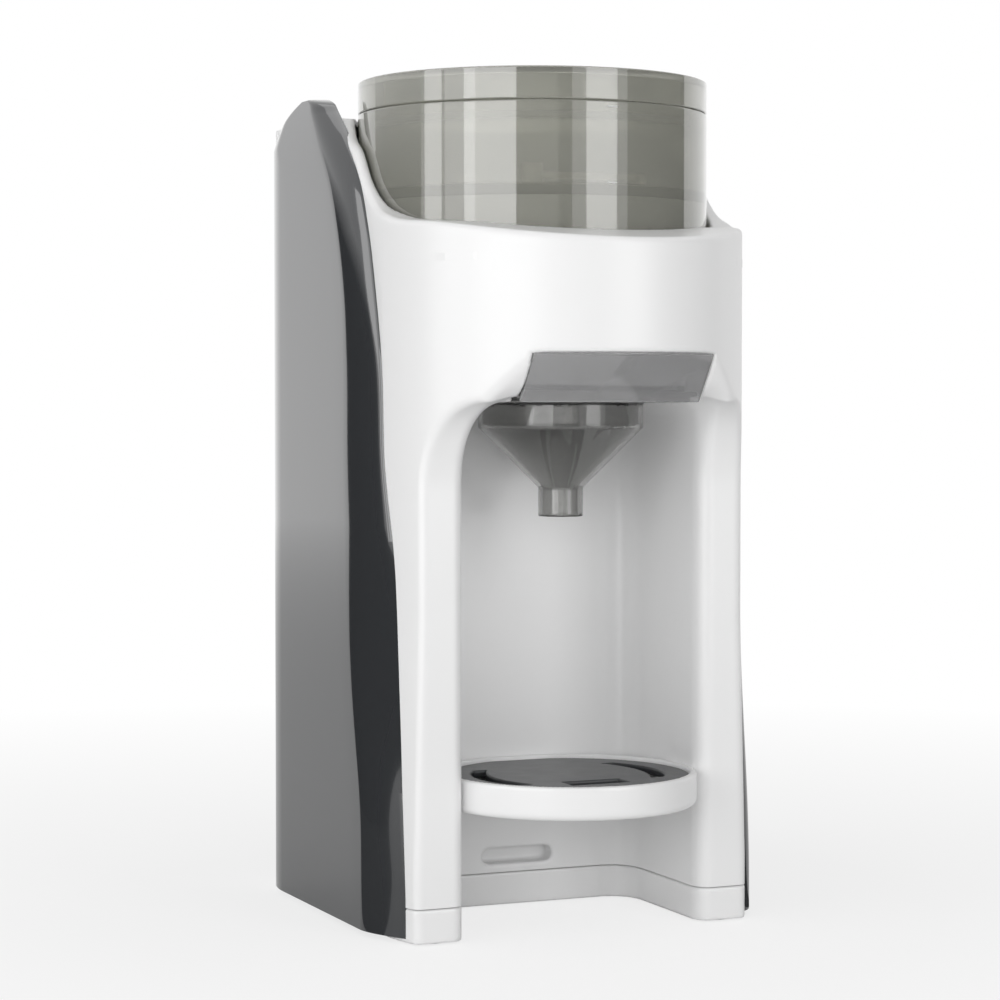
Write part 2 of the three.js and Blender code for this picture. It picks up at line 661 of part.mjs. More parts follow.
function alcovePlan(grown, front) {
  const half = ALCOVE_HALF_WIDTH + grown;
  const centreX = ALCOVE_HALF_WIDTH - ALCOVE_CORNER;
  const centreY = ALCOVE_BACK_Y - ALCOVE_CORNER;
  const radius = ALCOVE_CORNER + grown;
  const right = arc(centreX, centreY, radius, radius, 0, Math.PI / 2, CORNER_STEPS);
  const left = right.map(([x, y]) => [-x, y]).reverse();
  return [[-half, front], [half, front], ...right, ...left];
}

function alcoveSolid(grown, low) {
  const plan = prismZ(alcovePlan(grown, -FAR), low, CEILING_TOP + OVERRUN);
  return overlap(plan, prismY(archOutline(grown, low), -FAR, ALCOVE_BACK_Y + ALCOVE_CORNER));
}

// Housings
function screwBoss(side, y, wallX) {
  const top = HOUSING_BOTTOM + SCREW_BOSS_HEIGHT;
  const x = side * SCREW_X;
  const [left, right] = side > 0 ? [x, wallX] : [-wallX, x];
  const boss = rodZ(SCREW_BOSS_RADIUS, x, y, HOUSING_BOTTOM, top);
  const rib = box(left, right, y - RIB / 2, y + RIB / 2, HOUSING_BOTTOM, top);
  return { boss: join(boss, rib), pilot: rodZ(SCREW_SHANK_RADIUS + GAP, x, y, 0, top - RIB) };
}

function frontHousing() {
  const outer = cut(bodySolid(0, HOUSING_BOTTOM, SPLIT_Y), ...bothPanelRooms(GAP));
  const inner = cut(bodySolid(WALL, -OVERRUN, FAR), ...bothPanelRooms(GAP + WALL));
  const bosses = [-1, 1].map((side) => screwBoss(side, FRONT_SCREW_Y, BODY_HALF_WIDTH - WALL / 2));
  const shell = join(cut(outer, inner), ...bosses.map(({ boss }) => boss));
  const coverHalf = TRAY_HALF_WIDTH + GAP;
  return cut(
    shell,
    ...bosses.map(({ pilot }) => pilot),
    prismY(archOutline(0, -OVERRUN), -FAR, ALCOVE_BACK_Y),
    box(-coverHalf, coverHalf, -FAR, RAIL_FRONT_Y, SHOULDER_Z, RECESS_TOP_Z + GAP),
    rodZ(SEAT_RADIUS, 0, CONTAINER_Y, DECK_TOP, FAR, ROUND_STEPS),
  );
}

function stadium(halfWidth, height, z, front, back) {
  const radius = height / 2;
  const flat = halfWidth - radius;
  const right = arc(flat, z, radius, radius, -Math.PI / 2, Math.PI / 2, CORNER_STEPS);
  const left = right.map(([x, level]) => [-x, 2 * z - level]);
  return prismY([...right, ...left], front, back);
}

function alcoveLiner() {
  const skin = cut(alcoveSolid(WALL, HOUSING_BOTTOM), alcoveSolid(0, -OVERRUN));
  const behindFront = prismX(bodyProfile(WALL + GAP, -OVERRUN, FAR), -FAR, FAR);
  const ledges = [-1, 1].map((side) => {
    const xs = [side * (ALCOVE_HALF_WIDTH - LEDGE_REACH), side * (ALCOVE_HALF_WIDTH + WALL / 2)];
    const top = STAND_BOTTOM - GAP;
    return box(Math.min(...xs), Math.max(...xs), LEDGE_FRONT_Y, LEDGE_BACK_Y, top - LEDGE_THICKNESS, top);
  });
  const back = ALCOVE_BACK_Y + WALL;
  const posts = heaterCorners().map(([x, z]) => {
    return rodY(STANDOFF_RADIUS, x, z, ALCOVE_BACK_Y + WALL / 2, back + HEATER_STANDOFF);
  });
  const slots = [UPPER_SLOT_Z, LOWER_SLOT_Z].map((z) => {
    return stadium(SLOT_HALF_WIDTH, SLOT_HEIGHT, z, ALCOVE_BACK_Y - OVERRUN, back + OVERRUN);
  });
  const traySlot = box(
    -TRAY_SLOT_HALF, TRAY_SLOT_HALF, -FAR, TRAY_BACK_Y, CEILING_Z - OVERRUN, CEILING_TOP + OVERRUN,
  );
  return cut(join(overlap(skin, behindFront), ...ledges, ...posts), ...slots, traySlot);
}

function heaterCorners() {
  const xs = [-1, 1].map((side) => PUMP_X + side * (HEATER_WIDTH / 2 - BOARD_MARGIN));
  const zs = [HEATER_Z + BOARD_MARGIN, HEATER_Z + HEATER_HEIGHT - BOARD_MARGIN];
  return xs.flatMap((x) => zs.map((z) => [x, z]));
}

function seatDeck() {
  const rear = BAY_WALL_Y - GAP;
  const plate = prismZ(bodyPlan(WALL + GAP, rear), DECK_BOTTOM, DECK_TOP);
  return cut(
    plate,
    ...bothPanelRooms(GAP + WALL + GAP),
    rodZ(BUSH_RADIUS + GAP, 0, CONTAINER_Y, DECK_BOTTOM - OVERRUN, DECK_TOP + OVERRUN),
    rodZ(POCKET_RADIUS, 0, 0, DECK_BOTTOM - OVERRUN, DECK_TOP + OVERRUN),
  );
}

function boardCorners() {
  const xs = [-1, 1].map((side) => MAIN_BOARD_X + side * (MAIN_BOARD_WIDTH / 2 - BOARD_MARGIN));
  const zs = [MAIN_BOARD_Z + BOARD_MARGIN, MAIN_BOARD_Z + MAIN_BOARD_HEIGHT - BOARD_MARGIN];
  return xs.flatMap((x) => zs.map((z) => [x, z]));
}

function rearHousing() {
  const half = REAR_HALF_WIDTH;
  const front = SPLIT_Y + GAP;
  const block = cut(box(-half, half, front, REAR_Y, HOUSING_BOTTOM, REAR_TOP_Z), ...bothPanelRooms(GAP));
  const hollowHalf = half - WALL;
  const column = box(-hollowHalf, hollowHalf, -FAR, BAY_WALL_Y, -OVERRUN, REAR_TOP_Z - WALL);
  const bay = box(-hollowHalf, hollowHalf, BAY_Y, FAR, -OVERRUN, FAR);
  const bosses = [-1, 1].map((side) => screwBoss(side, REAR_SCREW_Y, half - WALL / 2));
  const posts = boardCorners().map(([x, z]) => {
    return rodY(STANDOFF_RADIUS, x, z, BAY_WALL_Y - BOARD_STANDOFF, BAY_WALL_Y + WALL / 2);
  });
  const shell = join(cut(block, cut(column, ...bothPanelRooms(GAP + WALL)), bay),
    ...bosses.map(({ boss }) => boss), ...posts);
  const windowHalf = BEZEL_WIDTH / 2 + BEZEL_LIP + GAP;
  const windowRise = BEZEL_HEIGHT / 2 + BEZEL_LIP + GAP;
  return cut(
    shell,
    ...bosses.map(({ pilot }) => pilot),
    rodZ(SEAT_RADIUS, 0, CONTAINER_Y, DECK_TOP, FAR, ROUND_STEPS),
    bezelBlock(half - WALL - OVERRUN, FAR, windowHalf, windowRise),
    rodY(NIPPLE_RADIUS + WALL / 2, 0, dockNippleZ(), BAY_WALL_Y - OVERRUN, BAY_Y + OVERRUN),
  );
}

function rightPanel() {
  const halfWidth = BEZEL_WIDTH / 2;
  const halfHeight = BEZEL_HEIGHT / 2;
  const hole = bezelBlock(PANEL_INNER_X - OVERRUN, PANEL_HALF_WIDTH + OVERRUN, halfWidth, halfHeight);
  return cut(sidePanel(1), hole);
}

// Base plate: a shell open below, with tubes for the feet and the screws
const footPlaces = [-1, 1].flatMap((side) => [FRONT_FOOT_Y, REAR_FOOT_Y].map((y) => [side * FOOT_X, y]));
const screwPlaces = [-1, 1].flatMap((side) => [FRONT_SCREW_Y, REAR_SCREW_Y].map((y) => [side * SCREW_X, y]));

function basePlan(inset, grown) {
  const half = REAR_HALF_WIDTH - inset;
  const tankHalf = TANK_HALF_WIDTH - inset;
  const cornerX = TANK_HALF_WIDTH - TANK_CORNER;
  const cornerY = BASE_REAR_Y - TANK_CORNER;
  const radius = TANK_CORNER - inset;
  const corner = arc(cornerX, cornerY, radius, radius, 0, Math.PI / 2, CORNER_STEPS);
  const rearY = REAR_Y - inset;
  const right = [[half, PILLAR_FRONT_Y + inset], [half, rearY], [tankHalf, rearY], ...corner];
  const left = right.map(([x, y]) => [-x, y]).reverse();
  const footprint = prismZ([...right, ...left], BASE_BOTTOM, BASE_TOP);
  const front = prismZ(bodyPlan(inset, SPLIT_Y), BASE_BOTTOM, BASE_TOP);
  const rear = box(-half, half, SPLIT_Y - OVERRUN, FAR, BASE_BOTTOM, BASE_TOP);
  const room = prismZ(alcovePlan(grown, -FAR), BASE_BOTTOM - OVERRUN, BASE_TOP + OVERRUN);
  return cut(overlap(footprint, join(front, rear)), room, ...bothPanelRooms(GAP + inset));
}

function basePlate() {
  const belowTop = box(-FAR, FAR, -FAR, FAR, -OVERRUN, BASE_TOP - BASE_TOP_THICKNESS);
  const shell = cut(basePlan(0, 0), overlap(basePlan(WALL, WALL), belowTop));
  const tubes = [
    ...footPlaces.map(([x, y]) => rodZ(FOOT_RADIUS, x, y, BASE_BOTTOM, BASE_TOP - GAP)),
    ...screwPlaces.map(([x, y]) => rodZ(SCREW_HEAD_RADIUS + WALL, x, y, BASE_BOTTOM, BASE_TOP - GAP)),
  ];
  const holes = screwPlaces.flatMap(([x, y]) => [
    rodZ(SCREW_HEAD_RADIUS + GAP, x, y, -OVERRUN, BASE_BOTTOM + COUNTERBORE_DEPTH),
    rodZ(SCREW_SHANK_RADIUS + GAP, x, y, -OVERRUN, BASE_TOP + OVERRUN),
  ]);
  return cut(join(shell, ...tubes), ...holes, inletBlock(GAP));
}

function addFeetAndScrews() {
  footPlaces.forEach(([x, y], i) => {
    addPart(`foot_${i + 1}`, blackRubber(), rodZ(FOOT_RADIUS, x, y, 0, FOOT_HEIGHT));
  });
  screwPlaces.forEach(([x, y], i) => {
    const headTop = BASE_BOTTOM + COUNTERBORE_DEPTH - GAP;
    const head = rodZ(SCREW_HEAD_RADIUS, x, y, headTop - SCREW_HEAD_HEIGHT, headTop);
    const shank = rodZ(SCREW_SHANK_RADIUS, x, y, headTop - GAP, headTop + SCREW_LENGTH);
    addPart(`base_screw_${i + 1}`, steel(), join(head, shank));
  });
}

function inletBlock(grown) {
  const half = INLET_WIDTH / 2 + grown;
  const middle = (BASE_BOTTOM + BASE_TOP - BASE_TOP_THICKNESS) / 2;
  const rise = INLET_HEIGHT / 2 + grown;
  const rear = BASE_REAR_Y + grown;
  const front = BASE_REAR_Y - INLET_DEPTH - grown;
  return box(INLET_X - half, INLET_X + half, front, rear, middle - rise, middle + rise);
}

function mainsInlet() {
  const middle = (BASE_BOTTOM + BASE_TOP - BASE_TOP_THICKNESS) / 2;
  const half = INLET_WIDTH / 2 - INLET_WALL;
  const rise = INLET_HEIGHT / 2 - INLET_WALL;
  const recess = box(INLET_X - half, INLET_X + half, BASE_REAR_Y - INLET_RECESS, BASE_REAR_Y + OVERRUN,
    middle - rise, middle + rise);
  return cut(inletBlock(0), recess);
}

// Powder container, lid, dosing wheel and stirrer
function powderContainer() {
  const outer = CONTAINER_RADIUS;
  const inner = CONTAINER_RADIUS - CONTAINER_WALL;
  const wellTop = CONTAINER_BOTTOM + HOPPER_DEPTH;
  const slopeTop = wellTop + HOPPER_SLOPE;
  const under = HOPPER_RADIUS + CONTAINER_WALL;
  const shell = turned(ringProfile([
    [BUSH_RADIUS, CONTAINER_BOTTOM],
    [under, CONTAINER_BOTTOM],
    [under, wellTop - CONTAINER_WALL],
    [inner, slopeTop - CONTAINER_WALL - CONTAINER_WALL],
    [inner, CONTAINER_BOTTOM],
    [outer, CONTAINER_BOTTOM],
    [outer, CONTAINER_TOP],
    [inner, CONTAINER_TOP],
    [inner, slopeTop],
    [HOPPER_RADIUS, wellTop],
    [HOPPER_RADIUS, CONTAINER_BOTTOM + HOPPER_FLOOR],
    [BUSH_RADIUS, CONTAINER_BOTTOM + HOPPER_FLOOR],
  ]), 0, CONTAINER_Y);
  return cut(shell, rodZ(POCKET_RADIUS, 0, 0, DECK_TOP, WHEEL_BOTTOM));
}

function containerLid() {
  const plugInner = LID_PLUG_RADIUS - LID_PLUG_WALL;
  const plugBottom = LID_BOTTOM - LID_PLUG_DEPTH;
  return turned([
    [0, LID_TOP - LID_THICKNESS],
    [plugInner, LID_TOP - LID_THICKNESS],
    [plugInner, plugBottom],
    [LID_PLUG_RADIUS, plugBottom],
    [LID_PLUG_RADIUS, LID_BOTTOM],
    [CONTAINER_RADIUS, LID_BOTTOM],
    [CONTAINER_RADIUS, LID_TOP],
    [0, LID_TOP],
  ], 0, CONTAINER_Y);
}

function ring(inner, outer, low, high, x, y, sides = SEAL_STEPS) {
  return turned(ringProfile([[inner, low], [outer, low], [outer, high], [inner, high]]), x, y, sides);
}

function lidSeal() {
  const top = LID_BOTTOM - LID_SEAL_DROP;
  const outer = CONTAINER_RADIUS - CONTAINER_WALL - GAP;
  return ring(LID_PLUG_RADIUS + GAP, outer, top - LID_SEAL_HEIGHT, top, 0, CONTAINER_Y, ROUND_STEPS);
}

function couplerPrism(radius, low, high) {
  const corners = Array.from({ length: COUPLER_SIDES }, (_, i) => {
    const angle = (2 * Math.PI * i) / COUPLER_SIDES;
    return [radius * Math.cos(angle), CONTAINER_Y + radius * Math.sin(angle)];
  });
  return prismZ(corners, low, high);
}

function dosingWheel() {
  const disc = rodZ(HOPPER_RADIUS - GAP, 0, CONTAINER_Y, WHEEL_BOTTOM, WHEEL_TOP, ROUND_STEPS);
  const hub = rodZ(WHEEL_HUB_RADIUS, 0, CONTAINER_Y, WHEEL_TOP - GAP, HUB_TOP);
  const pockets = Array.from({ length: POCKET_COUNT }, (_, i) => {
    const angle = -Math.PI / 2 + (2 * Math.PI * i) / POCKET_COUNT;
    const x = CONTAINER_Y * Math.cos(angle);
    const y = CONTAINER_Y + CONTAINER_Y * Math.sin(angle);
    return rodZ(POCKET_RADIUS, x, y, WHEEL_BOTTOM - OVERRUN, WHEEL_TOP + OVERRUN);
  });
  const socketTop = DECK_TOP + COUPLER_RISE + GAP;
  const socket = couplerPrism(COUPLER_RADIUS + 2 * GAP, WHEEL_BOTTOM - OVERRUN, socketTop);
  return cut(join(disc, hub), ...pockets, socket);
}

function stirrer() {
  const low = HUB_TOP + GAP;
  const post = rodZ(STIRRER_RADIUS, 0, CONTAINER_Y, low, low + STIRRER_RISE);
  const arms = STIRRER_ARM_SHARES.map((share, i) => {
    const side = i === 0 ? -1 : 1;
    const armZ = low + STIRRER_RISE * share;
    const [left, right] = [side * STIRRER_REACH, 0].sort((a, b) => a - b);
    const tip = side * (STIRRER_REACH - STIRRER_BAR / 2);
    const front = CONTAINER_Y - STIRRER_BAR / 2;
    const back = CONTAINER_Y + STIRRER_BAR / 2;
    const arm = box(left, right, front, back, armZ, armZ + STIRRER_BAR);
    const paddleZ = Math.max(armZ - PADDLE_DROP, low - WHEEL_HUB_RISE + STIRRER_BAR);
    const paddle = box(tip - STIRRER_BAR / 2, tip + STIRRER_BAR / 2, front - PADDLE_DROP / 2,
      back + PADDLE_DROP / 2, paddleZ, armZ + STIRRER_BAR);
    return join(arm, paddle);
  });
  return join(post, ...arms);
}

// Gears that stay clear of each other when their teeth are in mesh
function gearOutline(teeth, x, y, phase) {
  const pitch = (GEAR_MODULE * teeth) / 2;
  const root = pitch - DEDENDUM_SHARE * GEAR_MODULE;
  const tip = pitch + ADDENDUM_SHARE * GEAR_MODULE;
  const step = (2 * Math.PI) / teeth;
  const corners = [
    [-ROOT_TOOTH_SHARE, root],
    [-TIP_TOOTH_SHARE, tip],
    [TIP_TOOTH_SHARE, tip],
    [ROOT_TOOTH_SHARE, root],
  ];
  return Array.from({ length: teeth }, (_, i) => corners.map(([share, radius]) => {
    const angle = phase + (i + share) * step;
    return [x + radius * Math.cos(angle), y + radius * Math.sin(angle)];
  })).flat();
}

function driveGear() {
  const wheel = prismZ(gearOutline(GEAR_TEETH, 0, CONTAINER_Y, PINION_ANGLE), GEAR_BOTTOM, GEAR_TOP);
  return cut(wheel, rodZ(SHAFT_RADIUS + GAP, 0, CONTAINER_Y, GEAR_BOTTOM - OVERRUN, GEAR_TOP + OVERRUN));
}

function driveShaft() {
  const couplerLow = CONTAINER_BOTTOM;
  const shaft = rodZ(SHAFT_RADIUS, 0, CONTAINER_Y, GEAR_BOTTOM - SHAFT_TAIL, couplerLow + GAP);
  return join(shaft, couplerPrism(COUPLER_RADIUS, couplerLow, DECK_TOP + COUPLER_RISE));
}

function motorPinion() {
  const phase = PINION_ANGLE + Math.PI + Math.PI / PINION_TEETH;
  const teeth = prismZ(gearOutline(PINION_TEETH, PINION_X, PINION_Y, phase), GEAR_BOTTOM, GEAR_TOP);
  const tail = BRACKET_BOTTOM - GAP - MOTOR_SHAFT_DEPTH + GAP;
  return join(teeth, rodZ(MOTOR_SHAFT_RADIUS, PINION_X, PINION_Y, tail, GEAR_TOP));
}

function gearMotor() {
  const top = BRACKET_BOTTOM - GAP;
  const can = rodZ(MOTOR_RADIUS, PINION_X, PINION_Y, top - MOTOR_HEIGHT, top);
  return cut(can, rodZ(MOTOR_SHAFT_RADIUS + GAP, PINION_X, PINION_Y, top - MOTOR_SHAFT_DEPTH, top + OVERRUN));
}

function motorBracket() {
  const reach = BRACKET_HALF - BRACKET_POST_RADIUS;
  const corners = [[-1, 1], [1, 1], [1, -1]].map(([a, b]) => [PINION_X + a * reach, PINION_Y + b * reach]);
  const posts = corners.map(([x, y]) => rodZ(BRACKET_POST_RADIUS, x, y, BRACKET_BOTTOM, DECK_BOTTOM - GAP));
  const plate = box(PINION_X - BRACKET_HALF, PINION_X + BRACKET_HALF,
    PINION_Y - BRACKET_HALF, PINION_Y + BRACKET_HALF, BRACKET_BOTTOM, BRACKET_TOP);
  const shaftSide = SHAFT_RADIUS + GAP;
  const [low, high] = [BRACKET_BOTTOM - OVERRUN, BRACKET_TOP + OVERRUN];
  const notch = box(-FAR, shaftSide, -FAR, CONTAINER_Y + shaftSide, low, high);
  const hole = rodZ(BRACKET_HOLE_RADIUS, PINION_X, PINION_Y, low, high);
  return cut(join(plate, ...posts), hole, notch);
}

function shaftBush() {
  const bore = SHAFT_RADIUS + GAP;
  const flangeTop = DECK_BOTTOM - GAP;
  return turned(ringProfile([
    [bore, flangeTop - BUSH_FLANGE],
    [BUSH_FLANGE_RADIUS, flangeTop - BUSH_FLANGE],
    [BUSH_FLANGE_RADIUS, flangeTop],
    [BUSH_RADIUS, flangeTop],
    [BUSH_RADIUS, DECK_TOP],
    [bore, DECK_TOP],
  ]), 0, CONTAINER_Y, SMALL_STEPS);
}

// Funnel with its sliding tray, the slanted cover and the rails
function funnel() {
  const spoutTop = CEILING_Z - FUNNEL_BAND - FUNNEL_CONE;
  const coneTop = CEILING_Z - FUNNEL_BAND;
  const innerSpout = SPOUT_RADIUS - FUNNEL_WALL;
  const innerMouth = FUNNEL_RADIUS - FUNNEL_WALL;
  const lift = FUNNEL_WALL * (Math.SQRT2 - 1);
  const bowl = turned(ringProfile([
    [innerSpout, spoutTop - SPOUT_LENGTH],
    [SPOUT_RADIUS, spoutTop - SPOUT_LENGTH],
    [SPOUT_RADIUS, spoutTop],
    [FUNNEL_RADIUS, coneTop],
    [FUNNEL_RADIUS, CEILING_TOP],
    [innerMouth, CEILING_TOP],
    [innerMouth, coneTop + lift],
    [innerSpout, spoutTop + lift],
  ]), 0, 0);
  const slotHalf = TRAY_SLOT_HALF - GAP;
  const tongue = box(-slotHalf, slotHalf, TRAY_FRONT_Y, TRAY_BACK_Y - GAP, CEILING_Z, FLANGE_TOP - GAP);
  const flange = box(-TRAY_HALF_WIDTH, TRAY_HALF_WIDTH, TRAY_FRONT_Y, TRAY_BACK_Y, FLANGE_BOTTOM, FLANGE_TOP);
  const mouth = rodZ(innerMouth, 0, 0, CEILING_Z - OVERRUN, FLANGE_TOP + OVERRUN, ROUND_STEPS);
  return join(cut(join(tongue, flange), mouth), bowl);
}

// The cover runs from the curved front of the head down to the straight front of the tray
function funnelCover() {
  const rings = Array.from({ length: COVER_STEPS + 1 }, (_, i) => {
    const x = -TRAY_HALF_WIDTH + (2 * TRAY_HALF_WIDTH * i) / COVER_STEPS;
    const topY = -NOSE_REACH * Math.sqrt(1 - (x / BODY_HALF_WIDTH) ** 2);
    const lowY = TRAY_FRONT_Y - GAP - COVER_WALL;
    return [
      [x, topY, RECESS_TOP_Z],
      [x, lowY, CEILING_Z],
      [x, lowY + COVER_WALL, CEILING_Z],
      [x, topY + COVER_WALL, RECESS_TOP_Z],
    ];
  });
  return loft(rings);
}

function funnelRails() {
  const inner = TRAY_HALF_WIDTH + GAP;
  const outer = inner + RAIL_WALL;
  const frame = box(-outer, outer, RAIL_FRONT_Y, RAIL_BACK_Y, CEILING_TOP + GAP, RAIL_TOP);
  const passage = box(-inner, inner, RAIL_FRONT_Y - OVERRUN, RAIL_BACK_Y + OVERRUN, 0, RAIL_BOTTOM);
  const chute = CHUTE_HALF - CHUTE_WALL;
  return cut(
    frame,
    passage,
    box(-chute, chute, -chute, chute, RAIL_BOTTOM - OVERRUN, RAIL_TOP + OVERRUN),
    rodZ(NOZZLE_RADIUS + GAP, NOZZLE_X, NOZZLE_Y, RAIL_BOTTOM - OVERRUN, RAIL_TOP + OVERRUN),
  );
}

function powderChute() {
  const low = RAIL_TOP + GAP;
  const high = DECK_BOTTOM - GAP;
  const tube = box(-CHUTE_HALF, CHUTE_HALF, -CHUTE_HALF, CHUTE_HALF, low, high);
  const flange = box(-CHUTE_FLANGE_HALF, CHUTE_FLANGE_HALF, -CHUTE_FLANGE_HALF, CHUTE_FLANGE_HALF,
    low, low + CHUTE_FLANGE);
  const half = CHUTE_HALF - CHUTE_WALL;
  return cut(join(tube, flange), box(-half, half, -half, half, low - OVERRUN, high + OVERRUN));
}

function waterNozzle() {
  const low = RAIL_BOTTOM + GAP;
  const elbowZ = low + NOZZLE_RISE;
  const seat = RAIL_TOP + GAP;
  const tube = rodZ(NOZZLE_RADIUS, NOZZLE_X, NOZZLE_Y, low, elbowZ + NOZZLE_RADIUS);
  const arm = rodY(NOZZLE_RADIUS, NOZZLE_X, elbowZ, NOZZLE_Y, NOZZLE_Y + NOZZLE_ARM);
  const flange = rodZ(NOZZLE_FLANGE_RADIUS, NOZZLE_X, NOZZLE_Y, seat, seat + CHUTE_FLANGE);
  return cut(
    join(tube, arm, flange),
    rodZ(NOZZLE_BORE_RADIUS, NOZZLE_X, NOZZLE_Y, low - OVERRUN, elbowZ),
    rodY(NOZZLE_BORE_RADIUS, NOZZLE_X, elbowZ, NOZZLE_Y, NOZZLE_Y + NOZZLE_ARM + OVERRUN),
  );
}

function funnelSwitch() {
  const low = RAIL_TOP + GAP;
  return box(SWITCH_X - SWITCH_WIDTH / 2, SWITCH_X + SWITCH_WIDTH / 2,
    SWITCH_Y - SWITCH_DEPTH / 2, SWITCH_Y + SWITCH_DEPTH / 2, low, low + SWITCH_HEIGHT);
}

// Bottle stand: a shallow round tray that hooks into a slot of the back wall
function bottleStand() {
  const inner = STAND_RADIUS - STAND_WALL;
  const well = inner - STAND_LEDGE;
  const gridSeat = GRID_BOTTOM - GAP;
  const dish = turned([
    [0, STAND_BOTTOM],
    [STAND_RADIUS, STAND_BOTTOM],
    [STAND_RADIUS, STAND_TOP_Z],
    [inner, STAND_TOP_Z],
    [inner, gridSeat],
    [well, gridSeat],
    [well, STAND_BOTTOM + STAND_FLOOR],
    [0, STAND_BOTTOM + STAND_FLOOR],
  ], 0, STAND_Y);
  const back = ALCOVE_BACK_Y - STAND_BACK_GAP;
  const beyond = box(-FAR, FAR, back, FAR, 0, FAR);
  const wellBack = back - STAND_WALL;
  const chord = Math.sqrt(STAND_RADIUS ** 2 - (back - STAND_Y) ** 2);
  const backWall = overlap(
    box(-chord, chord, wellBack, back, STAND_BOTTOM, STAND_TOP_Z),
    rodZ(STAND_RADIUS, 0, STAND_Y, STAND_BOTTOM, STAND_TOP_Z, ROUND_STEPS),
  );
  const tabHeight = SLOT_HEIGHT - 2 * GAP;
  const tabEnd = ALCOVE_BACK_Y + TAB_REACH;
  const tab = stadium(SLOT_HALF_WIDTH - GAP, tabHeight, UPPER_SLOT_Z, wellBack, tabEnd);
  return join(cut(dish, beyond), backWall, tab);
}

function crescent(side) {
  const end = CRESCENT_HALF_ANGLE;
  const outer = arc(0, STAND_Y, CRESCENT_OUTER, CRESCENT_OUTER, -end, end, CRESCENT_STEPS);
  const inner = arc(0, STAND_Y, CRESCENT_INNER, CRESCENT_OUTER, end, -end, CRESCENT_STEPS);
  const points = [...outer, ...inner.slice(1, -1)];
  const placed = side > 0 ? points : points.map(([x, y]) => [-x, y]).reverse();
  return prismZ(placed, GRID_BOTTOM - OVERRUN, STAND_TOP_Z + OVERRUN);
}

function dripGrid() {
  const radius = STAND_RADIUS - STAND_WALL - GAP;
  const top = GRID_BOTTOM + GRID_THICKNESS;
  const plate = rodZ(radius, 0, STAND_Y, GRID_BOTTOM, top, ROUND_STEPS);
  const back = ALCOVE_BACK_Y - STAND_BACK_GAP - STAND_WALL - GAP;
  const [slotFront, slotBack] = [GRID_SLOT_Y - GRID_SLOT_DEPTH / 2, GRID_SLOT_Y + GRID_SLOT_DEPTH / 2];
  return cut(
    plate,
    box(-FAR, FAR, back, FAR, 0, FAR),
    crescent(-1),
    crescent(1),
    box(-GRID_SLOT_HALF, GRID_SLOT_HALF, slotFront, slotBack, GRID_BOTTOM - OVERRUN, top + OVERRUN),
  );
}

// Water tank, lid, valve and dock
function tankPlan(inset) {
  const corner = (x, y, radius, from) => {
    return arc(x, y, radius - inset, radius - inset, from, from + Math.PI / 2, CORNER_STEPS);
  };
  const rear = corner(TANK_HALF_WIDTH - TANK_CORNER, TANK_REAR_Y - TANK_CORNER, TANK_CORNER, 0);
  const frontX = TANK_HALF_WIDTH - TANK_FRONT_CORNER;
  const front = corner(frontX, TANK_FRONT_Y + TANK_FRONT_CORNER, TANK_FRONT_CORNER, -Math.PI / 2);
  const right = [...front, ...rear];
  return [...right, ...right.map(([x, y]) => [-x, y]).reverse()];
}

function hingeEar(centreX, halfWidth, radius) {
  const block = box(centreX - halfWidth, centreX + halfWidth, HINGE_Y - radius, HINGE_Y + radius,
    TANK_TOP_Z - GAP, HINGE_Z);
  return join(block, rodX(radius, HINGE_Y, HINGE_Z, centreX - halfWidth, centreX + halfWidth));
}

const hingeBore = () => rodX(HINGE_PIN_RADIUS + GAP, HINGE_Y, HINGE_Z, -FAR, FAR);

function waterTank() {
  const body = prismZ(tankPlan(0), TANK_BOTTOM, TANK_TOP_Z);
  const room = prismZ(tankPlan(TANK_WALL), TANK_BOTTOM + TANK_WALL, TANK_TOP_Z - TANK_WALL);
  const mouthFront = TANK_FRONT_Y + MOUTH_FRONT_RIM;
  const mouth = box(-MOUTH_HALF_WIDTH, MOUTH_HALF_WIDTH, mouthFront, mouthFront + MOUTH_DEPTH,
    TANK_TOP_Z - TANK_WALL - OVERRUN, TANK_TOP_Z + OVERRUN);
  const neck = rodZ(NECK_RADIUS, 0, NECK_Y, TANK_BOTTOM - NECK_LENGTH, TANK_BOTTOM + TANK_WALL);
  const bore = rodZ(NECK_BORE, 0, NECK_Y, 0, TANK_BOTTOM + TANK_WALL + OVERRUN);
  const earX = HINGE_HALF_LENGTH - HINGE_EAR_WIDTH / 2;
  const ears = [-1, 1].map((side) => hingeEar(side * earX, HINGE_EAR_WIDTH / 2, HINGE_EAR_RADIUS));
  return cut(join(cut(body, room, mouth), neck, ...ears), bore, hingeBore());
}

function tankLid() {
  const low = TANK_TOP_Z + GAP;
  const high = low + TANK_LID_THICKNESS;
  const rear = TANK_FRONT_Y + TANK_LID_DEPTH;
  const plate = overlap(prismZ(tankPlan(0), low, high), box(-FAR, FAR, 0, rear, 0, FAR));
  const half = HINGE_HALF_LENGTH - HINGE_EAR_WIDTH - GAP;
  const barrelRadius = HINGE_RISE - 2 * GAP;
  const barrel = rodX(barrelRadius, HINGE_Y, HINGE_Z, -half, half);
  const web = box(-half, half, rear - OVERRUN, HINGE_Y, low + GAP, HINGE_Z);
  return cut(join(plate, web, barrel), hingeBore());
}

function hingePin() {
  return rodX(HINGE_PIN_RADIUS, HINGE_Y, HINGE_Z, -HINGE_HALF_LENGTH, HINGE_HALF_LENGTH);
}

